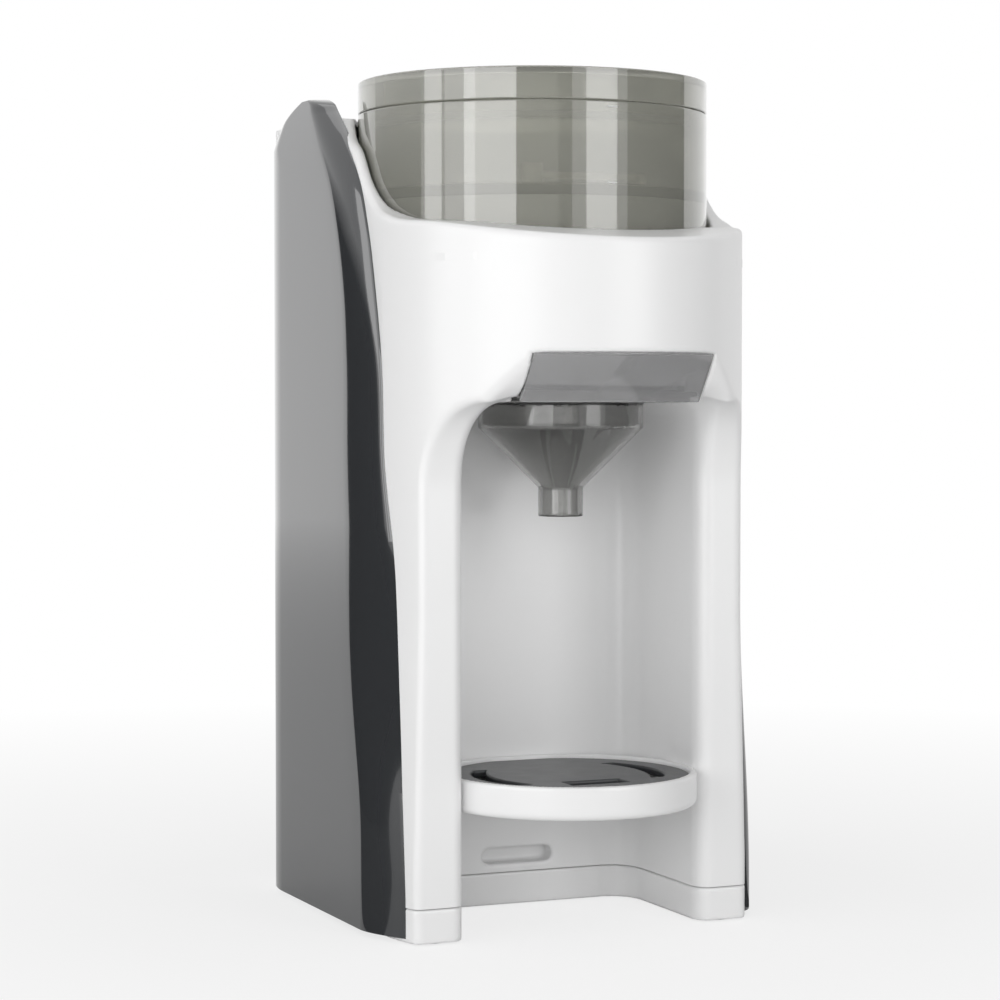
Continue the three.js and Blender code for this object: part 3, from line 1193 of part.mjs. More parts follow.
function tankValve() {
  const low = TANK_BOTTOM + TANK_WALL + GAP + VALVE_SEAL + GAP;
  const stemLow = TANK_BOTTOM - NECK_LENGTH + GAP;
  const head = rodZ(VALVE_HEAD_RADIUS, 0, NECK_Y, low, low + VALVE_HEAD);
  return join(head, rodZ(VALVE_STEM_RADIUS, 0, NECK_Y, stemLow, low + GAP));
}

function valveSeal() {
  const low = TANK_BOTTOM + TANK_WALL + GAP;
  return ring(VALVE_STEM_RADIUS + GAP, VALVE_HEAD_RADIUS, low, low + VALVE_SEAL, 0, NECK_Y);
}

const dockNippleZ = () => HOUSING_BOTTOM + DOCK_HEIGHT / 2;

function tankDock() {
  const top = HOUSING_BOTTOM + DOCK_HEIGHT;
  const block = box(-DOCK_HALF_WIDTH, DOCK_HALF_WIDTH, DOCK_FRONT_Y, DOCK_BACK_Y, HOUSING_BOTTOM, top);
  const floor = HOUSING_BOTTOM + DOCK_FLOOR;
  const radius = NECK_RADIUS + GAP + DOCK_SEAL_WALL + GAP;
  const socket = rodZ(radius, 0, NECK_Y, floor, top + OVERRUN, SEAL_STEPS);
  const end = DOCK_FRONT_Y - DOCK_NIPPLE_LENGTH;
  return join(cut(block, socket), rodY(NIPPLE_RADIUS, 0, dockNippleZ(), end, DOCK_FRONT_Y + GAP));
}

function dockSeal() {
  const low = HOUSING_BOTTOM + DOCK_FLOOR + GAP;
  const inner = NECK_RADIUS + GAP;
  return ring(inner, inner + DOCK_SEAL_WALL, low, low + DOCK_SEAL_HEIGHT, 0, NECK_Y);
}

// Pump, heater and hoses
const pumpTop = HOUSING_BOTTOM + PUMP_HEIGHT;
const pumpPortX = PUMP_X + PUMP_WIDTH / 2 + NIPPLE_LENGTH;
const heaterBackY = ALCOVE_BACK_Y + WALL + HEATER_STANDOFF + GAP;
const heaterMiddleY = heaterBackY + HEATER_DEPTH / 2;

function pumpBody() {
  const block = box(PUMP_X - PUMP_WIDTH / 2, PUMP_X + PUMP_WIDTH / 2,
    PUMP_Y - PUMP_DEPTH / 2, PUMP_Y + PUMP_DEPTH / 2, HOUSING_BOTTOM, pumpTop);
  return join(
    block,
    rodX(NIPPLE_RADIUS, PUMP_Y, dockNippleZ(), PUMP_X, pumpPortX),
    rodZ(NIPPLE_RADIUS, PUMP_X, PUMP_Y, pumpTop - GAP, pumpTop + NIPPLE_LENGTH),
  );
}

function pumpMotor() {
  const radius = (PUMP_HEIGHT - 2 * GAP) / 2;
  const middle = HOUSING_BOTTOM + PUMP_HEIGHT / 2;
  return rodX(radius, PUMP_Y, middle, PUMP_MOTOR_LEFT_X, PUMP_LEFT_X - GAP, BUTTON_STEPS);
}

function heaterBlock() {
  const top = HEATER_Z + HEATER_HEIGHT;
  const [left, right] = [PUMP_X - HEATER_WIDTH / 2, PUMP_X + HEATER_WIDTH / 2];
  return join(
    box(left, right, heaterBackY, heaterBackY + HEATER_DEPTH, HEATER_Z, top),
    rodZ(NIPPLE_RADIUS, PUMP_X, heaterMiddleY, HEATER_Z - NIPPLE_LENGTH, top + NIPPLE_LENGTH),
  );
}

// A hose leaves one port square to its face and meets the next one square
function hose(start, leave, end, arrive, startReach, endReach) {
  const from = new THREE.Vector3(...start);
  const to = new THREE.Vector3(...end);
  const path = new THREE.CubicBezierCurve3(
    from,
    from.clone().addScaledVector(new THREE.Vector3(...leave), startReach),
    to.clone().addScaledVector(new THREE.Vector3(...arrive), endReach),
    to,
  );
  const section = outline(arc(0, 0, HOSE_RADIUS, HOSE_RADIUS, 0, 2 * Math.PI, HOSE_SIDES).slice(0, -1));
  return new THREE.ExtrudeGeometry(section, { steps: HOSE_STEPS, extrudePath: path });
}

function tankHose() {
  const start = [0, DOCK_FRONT_Y - DOCK_NIPPLE_LENGTH - GAP, dockNippleZ()];
  const end = [pumpPortX + GAP, PUMP_Y, dockNippleZ()];
  const reach = (start[1] - end[1]) * HOSE_REACH_SHARE;
  return hose(start, [0, -1, 0], end, [1, 0, 0], reach, end[0] * -HOSE_REACH_SHARE);
}

function pumpHose() {
  const start = [PUMP_X, PUMP_Y, pumpTop + NIPPLE_LENGTH + GAP];
  const end = [PUMP_X, heaterMiddleY, HEATER_Z - NIPPLE_LENGTH - GAP];
  const reach = (end[2] - start[2]) * HOSE_REACH_SHARE;
  return hose(start, [0, 0, 1], end, [0, 0, -1], reach, reach);
}

function riserHose() {
  const start = [PUMP_X, heaterMiddleY, HEATER_Z + HEATER_HEIGHT + NIPPLE_LENGTH + GAP];
  const nozzleZ = RAIL_BOTTOM + GAP + NOZZLE_RISE;
  const end = [NOZZLE_X, NOZZLE_Y + NOZZLE_ARM + GAP, nozzleZ];
  const reach = (nozzleZ - start[2]) * RISER_REACH_SHARE;
  return hose(start, [0, 0, 1], end, [0, 1, 0], reach, RISER_END_REACH);
}

function mainBoard() {
  const back = BAY_WALL_Y - BOARD_STANDOFF - GAP;
  return box(MAIN_BOARD_X - MAIN_BOARD_WIDTH / 2, MAIN_BOARD_X + MAIN_BOARD_WIDTH / 2,
    back - BOARD, back, MAIN_BOARD_Z, MAIN_BOARD_Z + MAIN_BOARD_HEIGHT);
}

// Controls: bezel, display window, buttons and their board
function buttons() {
  const [front, back] = [BEZEL_Y - BUTTON_SPREAD, BEZEL_Y + BUTTON_SPREAD];
  const [upper, lower] = [BEZEL_Z + UPPER_ROW_RISE, BEZEL_Z - LOWER_ROW_DROP];
  return [
    { name: "scoop_button", y: front, z: upper, radius: BUTTON_RADIUS },
    { name: "temperature_button", y: back, z: upper, radius: BUTTON_RADIUS },
    { name: "volume_button", y: front, z: lower, radius: BUTTON_RADIUS },
    { name: "power_button", y: back, z: lower, radius: BUTTON_RADIUS },
    { name: "start_button", y: BEZEL_Y, z: BEZEL_Z - START_ROW_DROP, radius: START_BUTTON_RADIUS },
  ];
}
const buttonBackX = BEZEL_BACK_X - GAP - BUTTON_COLLAR_THICKNESS;
const boardFaceX = buttonBackX - BUTTON_TRAVEL - SWITCH_CAP - GAP;

function bezelWindow(grown, left, right) {
  const half = WINDOW_WIDTH / 2 + grown;
  const rise = WINDOW_HEIGHT / 2 + grown;
  const middle = BEZEL_Z + WINDOW_RISE;
  return box(left, right, BEZEL_Y - half, BEZEL_Y + half, middle - rise, middle + rise);
}

function bezelBlock(left, right, half, rise) {
  return box(left, right, BEZEL_Y - half, BEZEL_Y + half, BEZEL_Z - rise, BEZEL_Z + rise);
}

function controlBezel() {
  const half = BEZEL_WIDTH / 2 - GAP;
  const rise = BEZEL_HEIGHT / 2 - GAP;
  const flangeHalf = BEZEL_WIDTH / 2 + BEZEL_LIP;
  const flangeRise = BEZEL_HEIGHT / 2 + BEZEL_LIP;
  const flangeX = PANEL_INNER_X - GAP;
  const plate = bezelBlock(flangeX - GAP, BEZEL_FACE_X, half, rise);
  const flange = bezelBlock(BEZEL_BACK_X, flangeX, flangeHalf, flangeRise);
  const posts = [-1, 1].flatMap((a) => [-1, 1].map((b) => {
    const y = BEZEL_Y + a * (half - BOARD_INSET);
    const z = BEZEL_Z + b * (rise - BOARD_INSET);
    return rodX(BOARD_INSET, y, z, boardFaceX + GAP, BEZEL_BACK_X + GAP);
  }));
  const holes = buttons().map(({ y, z, radius }) => {
    return rodX(radius + GAP, y, z, BEZEL_BACK_X - OVERRUN, BEZEL_FACE_X + OVERRUN, BUTTON_STEPS);
  });
  const viewing = bezelWindow(-BOARD_INSET, BEZEL_BACK_X - OVERRUN, BEZEL_FACE_X + OVERRUN);
  const rebate = bezelWindow(GAP, BEZEL_FACE_X - WINDOW_THICKNESS - GAP, BEZEL_FACE_X + OVERRUN);
  return cut(join(plate, flange, ...posts), ...holes, viewing, rebate);
}

function addControls() {
  addPart("control_bezel", darkPlastic(), controlBezel());
  addPart("display_window", smokedPlastic(), bezelWindow(0, BEZEL_FACE_X - WINDOW_THICKNESS, BEZEL_FACE_X));
  const half = BEZEL_WIDTH / 2 - GAP;
  const rise = BEZEL_HEIGHT / 2 - GAP;
  const board = bezelBlock(boardFaceX - BOARD, boardFaceX, half, rise);
  const caps = buttons().map(({ y, z }) => {
    return rodX(BUTTON_COLLAR, y, z, boardFaceX - GAP, boardFaceX + SWITCH_CAP);
  });
  addPart("control_board", circuitBoard(), join(board, ...caps));
  for (const { name, y, z, radius } of buttons()) {
    const cap = rodX(radius, y, z, buttonBackX, BEZEL_FACE_X + BUTTON_PROUD, BUTTON_STEPS);
    const collarX = buttonBackX + BUTTON_COLLAR_THICKNESS;
    const collar = rodX(radius + BUTTON_COLLAR, y, z, buttonBackX, collarX, BUTTON_STEPS);
    addPart(name, greyPlastic(), join(cap, collar));
  }
}

addPart("base_plate", whitePlastic(), basePlate());
addFeetAndScrews();
addPart("front_housing", whitePlastic(), frontHousing());
addPart("alcove_liner", whitePlastic(), alcoveLiner());
addPart("seat_deck", whitePlastic(), seatDeck());
addPart("rear_housing", whitePlastic(), rearHousing());
addPart("left_side_panel", charcoalGloss(), sidePanel(-1));
addPart("right_side_panel", charcoalGloss(), rightPanel());
addPart("mains_inlet", blackRubber(), mainsInlet());
addControls();

addPart("powder_container", smokedPlastic(), powderContainer());
addPart("container_lid", smokedPlastic(), containerLid());
addPart("lid_seal", clearSilicone(), lidSeal());
addPart("dosing_wheel", nylon(), dosingWheel());
addPart("stirrer", nylon(), stirrer());
addPart("drive_gear", nylon(), driveGear());
addPart("drive_shaft", steel(), driveShaft());
addPart("motor_pinion", brass(), motorPinion());
addPart("gear_motor", steel(), gearMotor());
addPart("motor_bracket", steel(), motorBracket());
addPart("shaft_bush", brass(), shaftBush());

addPart("funnel", smokedPlastic(), funnel());
addPart("funnel_cover", smokedPlastic(), funnelCover());
addPart("funnel_rails", darkPlastic(), funnelRails());
addPart("funnel_switch", darkPlastic(), funnelSwitch());
addPart("powder_chute", darkPlastic(), powderChute());
addPart("water_nozzle", clearSilicone(), waterNozzle());
addPart("bottle_stand", whitePlastic(), bottleStand());
addPart("drip_grid", darkPlastic(), dripGrid());

addPart("water_tank", smokedPlastic(), waterTank());
addPart("tank_lid", darkPlastic(), tankLid());
addPart("tank_hinge_pin", steel(), hingePin());
addPart("tank_valve", nylon(), tankValve());
addPart("valve_seal", blackRubber(), valveSeal());
addPart("tank_dock", whitePlastic(), tankDock());
addPart("dock_seal", blackRubber(), dockSeal());

addPart("pump_body", darkPlastic(), pumpBody());
addPart("pump_motor", steel(), pumpMotor());
addPart("heater_block", steel(), heaterBlock());
addPart("hose_tank_to_pump", clearSilicone(), tankHose());
addPart("hose_pump_to_heater", clearSilicone(), pumpHose());
addPart("hose_heater_to_nozzle", clearSilicone(), riserHose());
addPart("main_board", circuitBoard(), mainBoard());

machine.position.y = (NOSE_REACH - TANK_REAR_Y) / 2;

export default new THREE.Group().add(machine);
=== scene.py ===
import json
import math

import bmesh
import bpy
import numpy as np
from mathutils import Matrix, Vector

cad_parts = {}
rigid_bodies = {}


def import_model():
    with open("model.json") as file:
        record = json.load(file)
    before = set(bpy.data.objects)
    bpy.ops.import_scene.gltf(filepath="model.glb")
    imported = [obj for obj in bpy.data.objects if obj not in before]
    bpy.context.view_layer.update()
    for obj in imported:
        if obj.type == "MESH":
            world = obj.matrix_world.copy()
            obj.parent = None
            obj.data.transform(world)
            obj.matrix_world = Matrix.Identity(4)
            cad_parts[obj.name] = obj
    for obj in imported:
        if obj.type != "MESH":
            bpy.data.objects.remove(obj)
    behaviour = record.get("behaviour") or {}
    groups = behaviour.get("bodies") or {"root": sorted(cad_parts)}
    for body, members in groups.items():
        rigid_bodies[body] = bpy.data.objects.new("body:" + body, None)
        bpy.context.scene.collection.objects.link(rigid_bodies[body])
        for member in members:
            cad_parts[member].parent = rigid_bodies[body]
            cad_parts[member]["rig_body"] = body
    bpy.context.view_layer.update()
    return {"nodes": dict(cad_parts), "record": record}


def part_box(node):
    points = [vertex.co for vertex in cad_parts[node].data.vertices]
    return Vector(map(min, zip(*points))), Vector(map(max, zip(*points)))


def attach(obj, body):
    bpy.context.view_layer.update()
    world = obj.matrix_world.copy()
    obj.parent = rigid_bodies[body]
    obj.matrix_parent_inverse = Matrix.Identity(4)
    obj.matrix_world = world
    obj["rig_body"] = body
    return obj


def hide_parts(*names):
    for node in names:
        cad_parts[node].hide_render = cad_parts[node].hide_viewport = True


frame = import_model()

# In millimetres, as all sizes down to the camera's are. The spout's axis stands at SPOUT_Y in the
# row frame, and FAR lies beyond every piece.
MM = 0.001
SPOUT_Y = -44
GAP = 0.3
WALL = 2.6
FAR = 400
SMALL_EDGE = 0.8
EDGE_STEPS = 3
EDGE_ANGLE = 35
BLUNT_EDGE_ANGLE = 50
SAME_POINT = 0.005

# White body
BODY_HALF_WIDTH = 87
NOSE_REACH = 80
NOSE_STEPS = 400
FLANK_HEIGHTS = [30, 140]
FLANK_EASES = [0.3, 3.3]
HOUSING_REAR_Y = 60
HOUSING_BOTTOM = 16.3
PILLAR_FRONT_Y = -27
ARCH_FRONT_Y = -53
CEILING_Z = 239
ARCH_DROP = 39
RECESS_TOP_Y = -69
RECESS_TOP_Z = 260
NOSE_TOP_Z = 310
WING_TOP_Z = 370
WING_RUN_SHARES = [0, 0.33, 0.557, 0.664, 0.738, 0.813, 0.907, 1]
WING_RISE_SHARES = [0, 0.127, 0.2, 0.308, 0.467, 0.7, 0.833, 1]
WING_STEPS = 60
SWEEP_STEPS = 24
HEAD_EDGE_RADIUS = 2.5
ALCOVE_HALF_WIDTH = 60
ALCOVE_BACK_Y = 49
ALCOVE_CORNER = 18
SHOULDER_WIDTH = 16
SHOULDER_DROP = 29
CEILING_FILLET = 8
ARCH_FILLET = 9
SEAT_EDGE = 1.2

# Base
BASE_BOTTOM = 2.5
RIM_BOTTOM = 0.8
BASE_TOP = 16
BASE_TOP_THICKNESS = 3
BASE_REAR_Y = 166
REAR_Y = 131
REAR_HALF_WIDTH = 91.7
TANK_HALF_WIDTH = 84
TANK_CORNER = 20
FOOT_RADIUS = 8
FOOT_PLACES = [(71, -15), (71, 148)]
SCREW_PLACES = [(73, 10), (73, 104)]
SCREW_TUBE_RADIUS = 6.2
SCREW_HOLE_RADIUS = 3.9
INLET_X = -48
INLET_HALF_WIDTH = 12
INLET_DEPTH = 14
INLET_LOW = 3.25
INLET_HIGH = 12.25

# Slots and seat in the white body
COVER_HALF_WIDTH = 43.8
COVER_SLOT_BACK_Y = -38
COVER_SLOT_LOW_Z = 210
TRAY_SLOT_HALF = 40.6
TRAY_SLOT_BACK_Y = 42
HOOK_HALF_WIDTH = 18
HOOK_HEIGHT = 7.5
HOOK_HEIGHTS = [63, 24]
HOOK_DEPTH = 8
CONTAINER_Y = 32
SEAT_RADIUS = 82.3
DECK_BOTTOM = 300.3
DECK_TOP = 303.7

# Side panels: outline in shares of their height and depth
PANEL_HALF_WIDTH = 95
PANEL_WALL = 3
PANEL_FRONT_Y = -20
PANEL_BOTTOM = 2.5
PANEL_TOP = 380
PANEL_SHARES = np.array([
    # height, front edge, crease, rear edge
    [0, 0, 0.19, 1],
    [0.054, 0.002, 0.188, 1],
    [0.141, 0.017, 0.192, 1],
    [0.174, 0.023, 0.205, 1],
    [0.224, 0.031, 0.235, 1],
    [0.285, 0.042, 0.268, 1],
    [0.348, 0.053, 0.289, 1],
    [0.441, 0.07, 0.316, 1],
    [0.55, 0.118, 0.333, 1],
    [0.677, 0.139, 0.333, 1],
    [0.754, 0.183, 0.342, 1],
    [0.833, 0.245, 0.397, 1],
    [0.894, 0.321, 0.466, 1],
    [0.947, 0.447, 0.56, 1],
    [0.966, 0.503, 0.596, 0.946],
    [0.984, 0.558, 0.636, 0.872],
    [0.995, 0.596, 0.656, 0.781],
    [1, 0.636, 0.675, 0.728],
])
BEND_LEVEL_SHARES = [0, 0.34, 0.48]
BEND_CONTROL_SHARES = {-1: [0.35, 0.3, 0.6], 1: [0.85, 0.8, 0.6]}
PANEL_LEVELS = 260
PANEL_BEND_STEPS = 16
PANEL_SIDE_STEPS = 8
PANEL_TURN = 16
PANEL_TOP_TURN = 30
PANEL_TURN_IN = 2.2
PANEL_EDGE_RADIUS = 0.4
PANEL_EDGE_ANGLE = 60
BEZEL_Y = 86
BEZEL_Z = 245
BEZEL_WIDTH = 40
BEZEL_HEIGHT = 110
CUTTER_DEPTH = 26

# Powder container and lid
CONTAINER_RADIUS = 81
CONTAINER_WALL = 2.2
CONTAINER_BOTTOM = 304
CONTAINER_TOP = 371.3
HOPPER_RADIUS = 61
HOPPER_FLOOR = 2.2
WELL_TOP = 319
SLOPE_TOP = 334.8
BUSH_RADIUS = 8
LID_BOTTOM = 371.6
LID_TOP = 386
LID_THICKNESS = 2.4
LID_PLUG_RADIUS = 76.5
LID_PLUG_WALL = 2.2
LID_PLUG_BOTTOM = 363
LATHE_STEPS = 180
LATHE_EDGE = 0.7
MARK_HEIGHT = 0.5
MARK_PROUD = 0.12
MARK_LEVELS = [368.6, 335.3]
MARK_START = 0.002
MARK_END = 0.059
MARK_STEPS = 24

# Funnel, tray and cover
SPOUT_RADIUS = 10.25
SPOUT_BOTTOM = 187
SPOUT_TOP = 200
FUNNEL_RADIUS = 37.75
FUNNEL_WALL = 2
CONE_TOP = 227.5
TRAY_HALF_WIDTH = 43.5
TRAY_TONGUE_HALF = 40
TRAY_FRONT_Y = -50.7
TRAY_BACK_Y = 41.7
FLANGE_BOTTOM = 241.9
FLANGE_TOP = 244.4
TRAY_TOP = 244.1
COVER_WALL = 2
COVER_STEPS = 40
COVER_ROWS = 12

# Stand and grid
STAND_Y = -8
STAND_RADIUS = 58.6
STAND_BOTTOM = 56.5
STAND_TOP = 71.5
STAND_WALL = 3
STAND_FLOOR = 2.5
STAND_LEDGE = 2.6
STAND_BACK_Y = 48.4
STAND_LOWER_EDGE = 3
STAND_TAB_REACH = 6.6
GRID_BOTTOM = 66.4
GRID_TOP = 69.8
GRID_RADIUS = 55.3
GRID_BACK_Y = 45.1
CRESCENT_OUTER = 44
CRESCENT_INNER = 36
CRESCENT_REACH = 25.9
GRID_SLOT_HALF = 14
GRID_SLOT_Y = -38
GRID_SLOT_HALF_DEPTH = 6

# Water tank and its lid
TANK_FRONT_Y = 118.4
TANK_REAR_Y = 168
TANK_FRONT_CORNER = 6
TANK_WALL = 2.4
TANK_BOTTOM = 25
TANK_TOP = 366
TANK_EDGE = 2
MOUTH_HALF_WIDTH = 76
MOUTH_FRONT_Y = 122.4
MOUTH_REAR_Y = 152.9
TANK_LID_BOTTOM = 366.3
TANK_LID_TOP = 369.3
TANK_LID_REAR_Y = 158.4
HINGE_Y = 163.5
HINGE_Z = 371
HINGE_EAR_RADIUS = 4.4
HINGE_BORE = 2.4
HINGE_HALF_LENGTH = 30
HINGE_EAR_WIDTH = 6
NECK_RADIUS = 9
NECK_BORE = 5
NECK_Y = 142
NECK_BOTTOM = 18.6
NECK_BORE_TOP = 33

# Buttons on the right side
BUTTONS = ["scoop_button", "temperature_button", "volume_button", "power_button", "start_button"]
COLLAR_WIDTH = 1.5
COLLAR_THICKNESS = 1
BUTTON_EDGE = 0.4

# Grids that the moulded pieces' skins are found on: low corner, high corner and step
GRIDS = {
    "white_housing": ((-90, -84, 12.3), (90, 63, 373), 1.25),
    "white_base": ((-94, -84, 0), (94, 169, 18), 1.2),
    "smoked_funnel": ((-45, -52, 186), (45, 43, 246), 0.9),
    "white_stand": ((-60, -68, 55), (60, 57, 73), 1),
    "dark_grid": ((-57, -65, 65), (57, 47, 71), 0.8),
    "tank_shell": ((-86, 116, 17), (86, 170, 377), 1.4),
    "tank_flap": ((-86, 116, 365), (86, 170, 377), 1),
}
DRAWING_ROUNDS = 3
LARGEST_SHIFT = 1 / 3
PROBE_REACH = 1 / 20
LEAST_STEEPNESS = 0.05

# Texture of the moulded surfaces
CLOUD = 0.03
CLOUD_SCALE = 28
GRAIN = 0.04
GRAIN_SCALE = 2200
GRAIN_DEPTH = 0.25
WEAR = 0.15
WEAR_SCALE = 90
PLASTIC_IOR = 1.49

# Camera, as worked out from the photograph: its place in metres, its lens in millimetres
CAMERA_PLACE = (-0.533, -1.206, 0.2423)
CAMERA_TURN = math.radians(23.4)
CAMERA_DIP = math.radians(2.15)
LENS = 100.8
SENSOR = 36
CLIP_START = 0.05
CLIP_END = 50

# Floor, lamps and dark cards, in metres and watts
FLOOR_REACH = 6
FLOOR_COLOUR = (0.86, 0.86, 0.86, 1)
FLOOR_ROUGHNESS = 0.6
WHITE = (1, 1, 1, 1)
FLOOR_FADE_START = 0.2
FLOOR_FADE_END = 0.9
FLOOR_NEAR_WHITE = 0.75
FLOOR_MIRROR_END = 4.2
AMBIENT = 0.36
STAGE_MIDDLE = 0.19
LAMPS = [
    # name, degrees to the left of the camera, distance, height, width, height of the box, power
    ("strip", 66, 1.5, 0.62, 0.35, 1.2, 3),
    ("key", 47, 1.6, 0.62, 0.6, 1.2, 2.6),
    ("front", 14, 1.9, 0.42, 2.2, 0.8, 13),
    ("fill", -44, 1.6, 0.62, 0.6, 1.2, 5.5),
    ("top", 180, 0.2, 1.9, 1.4, 1.0, 4),
]
CARD_COLOUR = (0.01, 0.01, 0.01, 1)
CARD_DISTANCE = 0.5
CARD_LIFT = 0.0005
CARDS = [
    # name, place it stands round, degrees to the left of the camera at both ends, height up to
    # which it is solid, height at which it has faded out
    ("left_card", (-0.095, -0.05), 78, 129, 0.37, 0.45),
    ("right_card", (0.09, -0.03), -52, -112, 0.6, 1),
    ("camera_card", (-0.2, -0.46), 20, -48, 0.8, 0.9),
]


# Materials
def node_material(name):
    """A material with nodes, with its node tree and its shader."""
    made = bpy.data.materials.new(name)
    made.use_nodes = True
    return made, made.node_tree, made.node_tree.nodes["Principled BSDF"]


def socket_set(shader, **values):
    for name, value in values.items():
        shader.inputs[name.replace("_", " ")].default_value = value


def linked(tree, kind, **inputs):
    """A new node of a kind with some inputs linked or set."""
    made = tree.nodes.new(kind)
    for name, value in inputs.items():
        target = made.inputs[name.replace("_", " ")]
        if isinstance(value, bpy.types.NodeSocket):
            tree.links.new(value, target)
        else:
            target.default_value = value
    return made


def math_node(tree, operation, first, second):
    """What a Math node makes of two sockets."""
    made = tree.nodes.new("ShaderNodeMath")
    made.operation = operation
    tree.links.new(first, made.inputs[0])
    tree.links.new(second, made.inputs[1])
    return made.outputs["Value"]


def shaded(colour, change):
    return [min(1, part * change) for part in colour] + [1]


def surface(name, colour, roughness, cloud=CLOUD, grain=GRAIN, **constants):
    """A moulded surface: slow colour clouds, uneven gloss and a fine grain."""
    made, tree, shader = node_material(name)
    place = tree.nodes.new("ShaderNodeTexCoord").outputs["Object"]
    slow = linked(tree, "ShaderNodeTexNoise", Vector=place, Scale=CLOUD_SCALE, Detail=3)
    tint = tree.nodes.new("ShaderNodeMix")
    tint.data_type = "RGBA"
    tree.links.new(slow.outputs["Fac"], tint.inputs["Factor"])
    tint.inputs["A"].default_value = shaded(colour, 1 - cloud)
    tint.inputs["B"].default_value = shaded(colour, 1 + cloud)
    tree.links.new(tint.outputs["Result"], shader.inputs["Base Color"])
    patchy = linked(tree, "ShaderNodeTexNoise", Vector=place, Scale=WEAR_SCALE, Detail=4)
    dull, shiny = roughness * (1 + WEAR), roughness * (1 - WEAR)
    gloss = linked(tree, "ShaderNodeMapRange", Value=patchy.outputs["Fac"], To_Min=shiny, To_Max=dull)
    tree.links.new(gloss.outputs["Result"], shader.inputs["Roughness"])
    fine = linked(tree, "ShaderNodeTexNoise", Vector=place, Scale=GRAIN_SCALE, Detail=2)
    depth = GRAIN_DEPTH * MM
    bump = linked(tree, "ShaderNodeBump", Height=fine.outputs["Fac"], Strength=grain, Distance=depth)
    tree.links.new(bump.outputs["Normal"], shader.inputs["Normal"])
    socket_set(shader, **constants)
    return made


MATERIALS = {
    "white_plastic": surface("white_plastic", (0.87, 0.87, 0.87), 0.3, cloud=0.01),
    "charcoal_gloss": surface(
        "charcoal_gloss", (0.034, 0.036, 0.039), 0.12, grain=0.01, Coat_Weight=1, Coat_Roughness=0.04
    ),
    "smoked_plastic": surface(
        "smoked_plastic", (0.6, 0.6, 0.59), 0.03, grain=0.01, Transmission_Weight=1, IOR=PLASTIC_IOR
    ),
    "container_smoke": surface(
        "container_smoke", (0.52, 0.52, 0.465), 0.06, grain=0.01, Transmission_Weight=0.65,
        Coat_Weight=1, Coat_Roughness=0.03, Specular_IOR_Level=0.8, IOR=PLASTIC_IOR
    ),
    "cover_smoke": surface(
        "cover_smoke", (0.66, 0.66, 0.665), 0.06, grain=0.01, Transmission_Weight=0.7, IOR=PLASTIC_IOR
    ),
    "dark_plastic": surface("dark_plastic", (0.035, 0.037, 0.04), 0.35, grain=0.15),
    "grey_plastic": surface("grey_plastic", (0.27, 0.28, 0.29), 0.4, grain=0.12),
    "rubber": surface("rubber", (0.012, 0.012, 0.013), 0.75, grain=0.3),
    "pale_rubber": surface("pale_rubber", (0.7, 0.7, 0.7), 0.6, grain=0.3),
    "pale_print": surface("pale_print", (0.7, 0.71, 0.7), 0.4),
    "silicone": surface("silicone", (0.75, 0.77, 0.77), 0.35, Transmission_Weight=0.4, IOR=1.41),
    "steel": surface("steel", (0.5, 0.51, 0.52), 0.28, grain=0.1, Metallic=1),
    "brass": surface("brass", (0.62, 0.44, 0.19), 0.3, grain=0.1, Metallic=1),
    "nylon": surface("nylon", (0.74, 0.71, 0.64), 0.45, grain=0.1),
    "circuit_board": surface("circuit_board", (0.015, 0.12, 0.06), 0.4, cloud=0.2, grain=0.2),
}


# Meshes
def add_object(name, data):
    made = bpy.data.objects.new(name, data)
    bpy.context.scene.collection.objects.link(made)
    return made


def new_piece(name, vertices, faces, finish, body, replaced=()):
    """A smooth mesh piece from millimetre points, placed in the row frame and set on its body."""
    mesh = bpy.data.meshes.new(name)
    placed = (np.asarray(vertices, float) + (0, SPOUT_Y, 0)) * MM
    mesh.from_pydata(placed.tolist(), [], faces)
    mesh.validate()
    mesh.shade_smooth()
    mesh.materials.append(MATERIALS[finish])
    piece = add_object(name, mesh)
    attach(piece, body)
    if replaced:
        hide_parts(*replaced)
    return piece


def keep_evaluated(piece):
    """Turns the piece's modifiers into its mesh."""
    graph = bpy.context.evaluated_depsgraph_get()
    finished = bpy.data.meshes.new_from_object(piece.evaluated_get(graph))
    piece.modifiers.clear()
    piece.data = finished


def tidy_mesh(piece, planes=()):
    """Merges equal points, turns faces outward and cuts away what lies beyond the planes."""
    work = bmesh.new()
    work.from_mesh(piece.data)
    bmesh.ops.remove_doubles(work, verts=work.verts, dist=SAME_POINT * MM)
    bmesh.ops.recalc_face_normals(work, faces=work.faces)
    for point, normal in planes:
        everything = [*work.verts, *work.edges, *work.faces]
        placed = (Vector(point) + Vector((0, SPOUT_Y, 0))) * MM
        bmesh.ops.bisect_plane(
            work, geom=everything, plane_co=placed, plane_no=normal, clear_outer=True
        )
    for face in work.faces:
        face.smooth = True
    work.to_mesh(piece.data)
    work.free()


def round_edges(piece, radius, angle=EDGE_ANGLE, steps=EDGE_STEPS):
    edge = piece.modifiers.new("edge", "BEVEL")
    edge.width = radius * MM
    edge.segments = steps
    edge.limit_method = "ANGLE"
    edge.angle_limit = math.radians(angle)
    edge.harden_normals = True


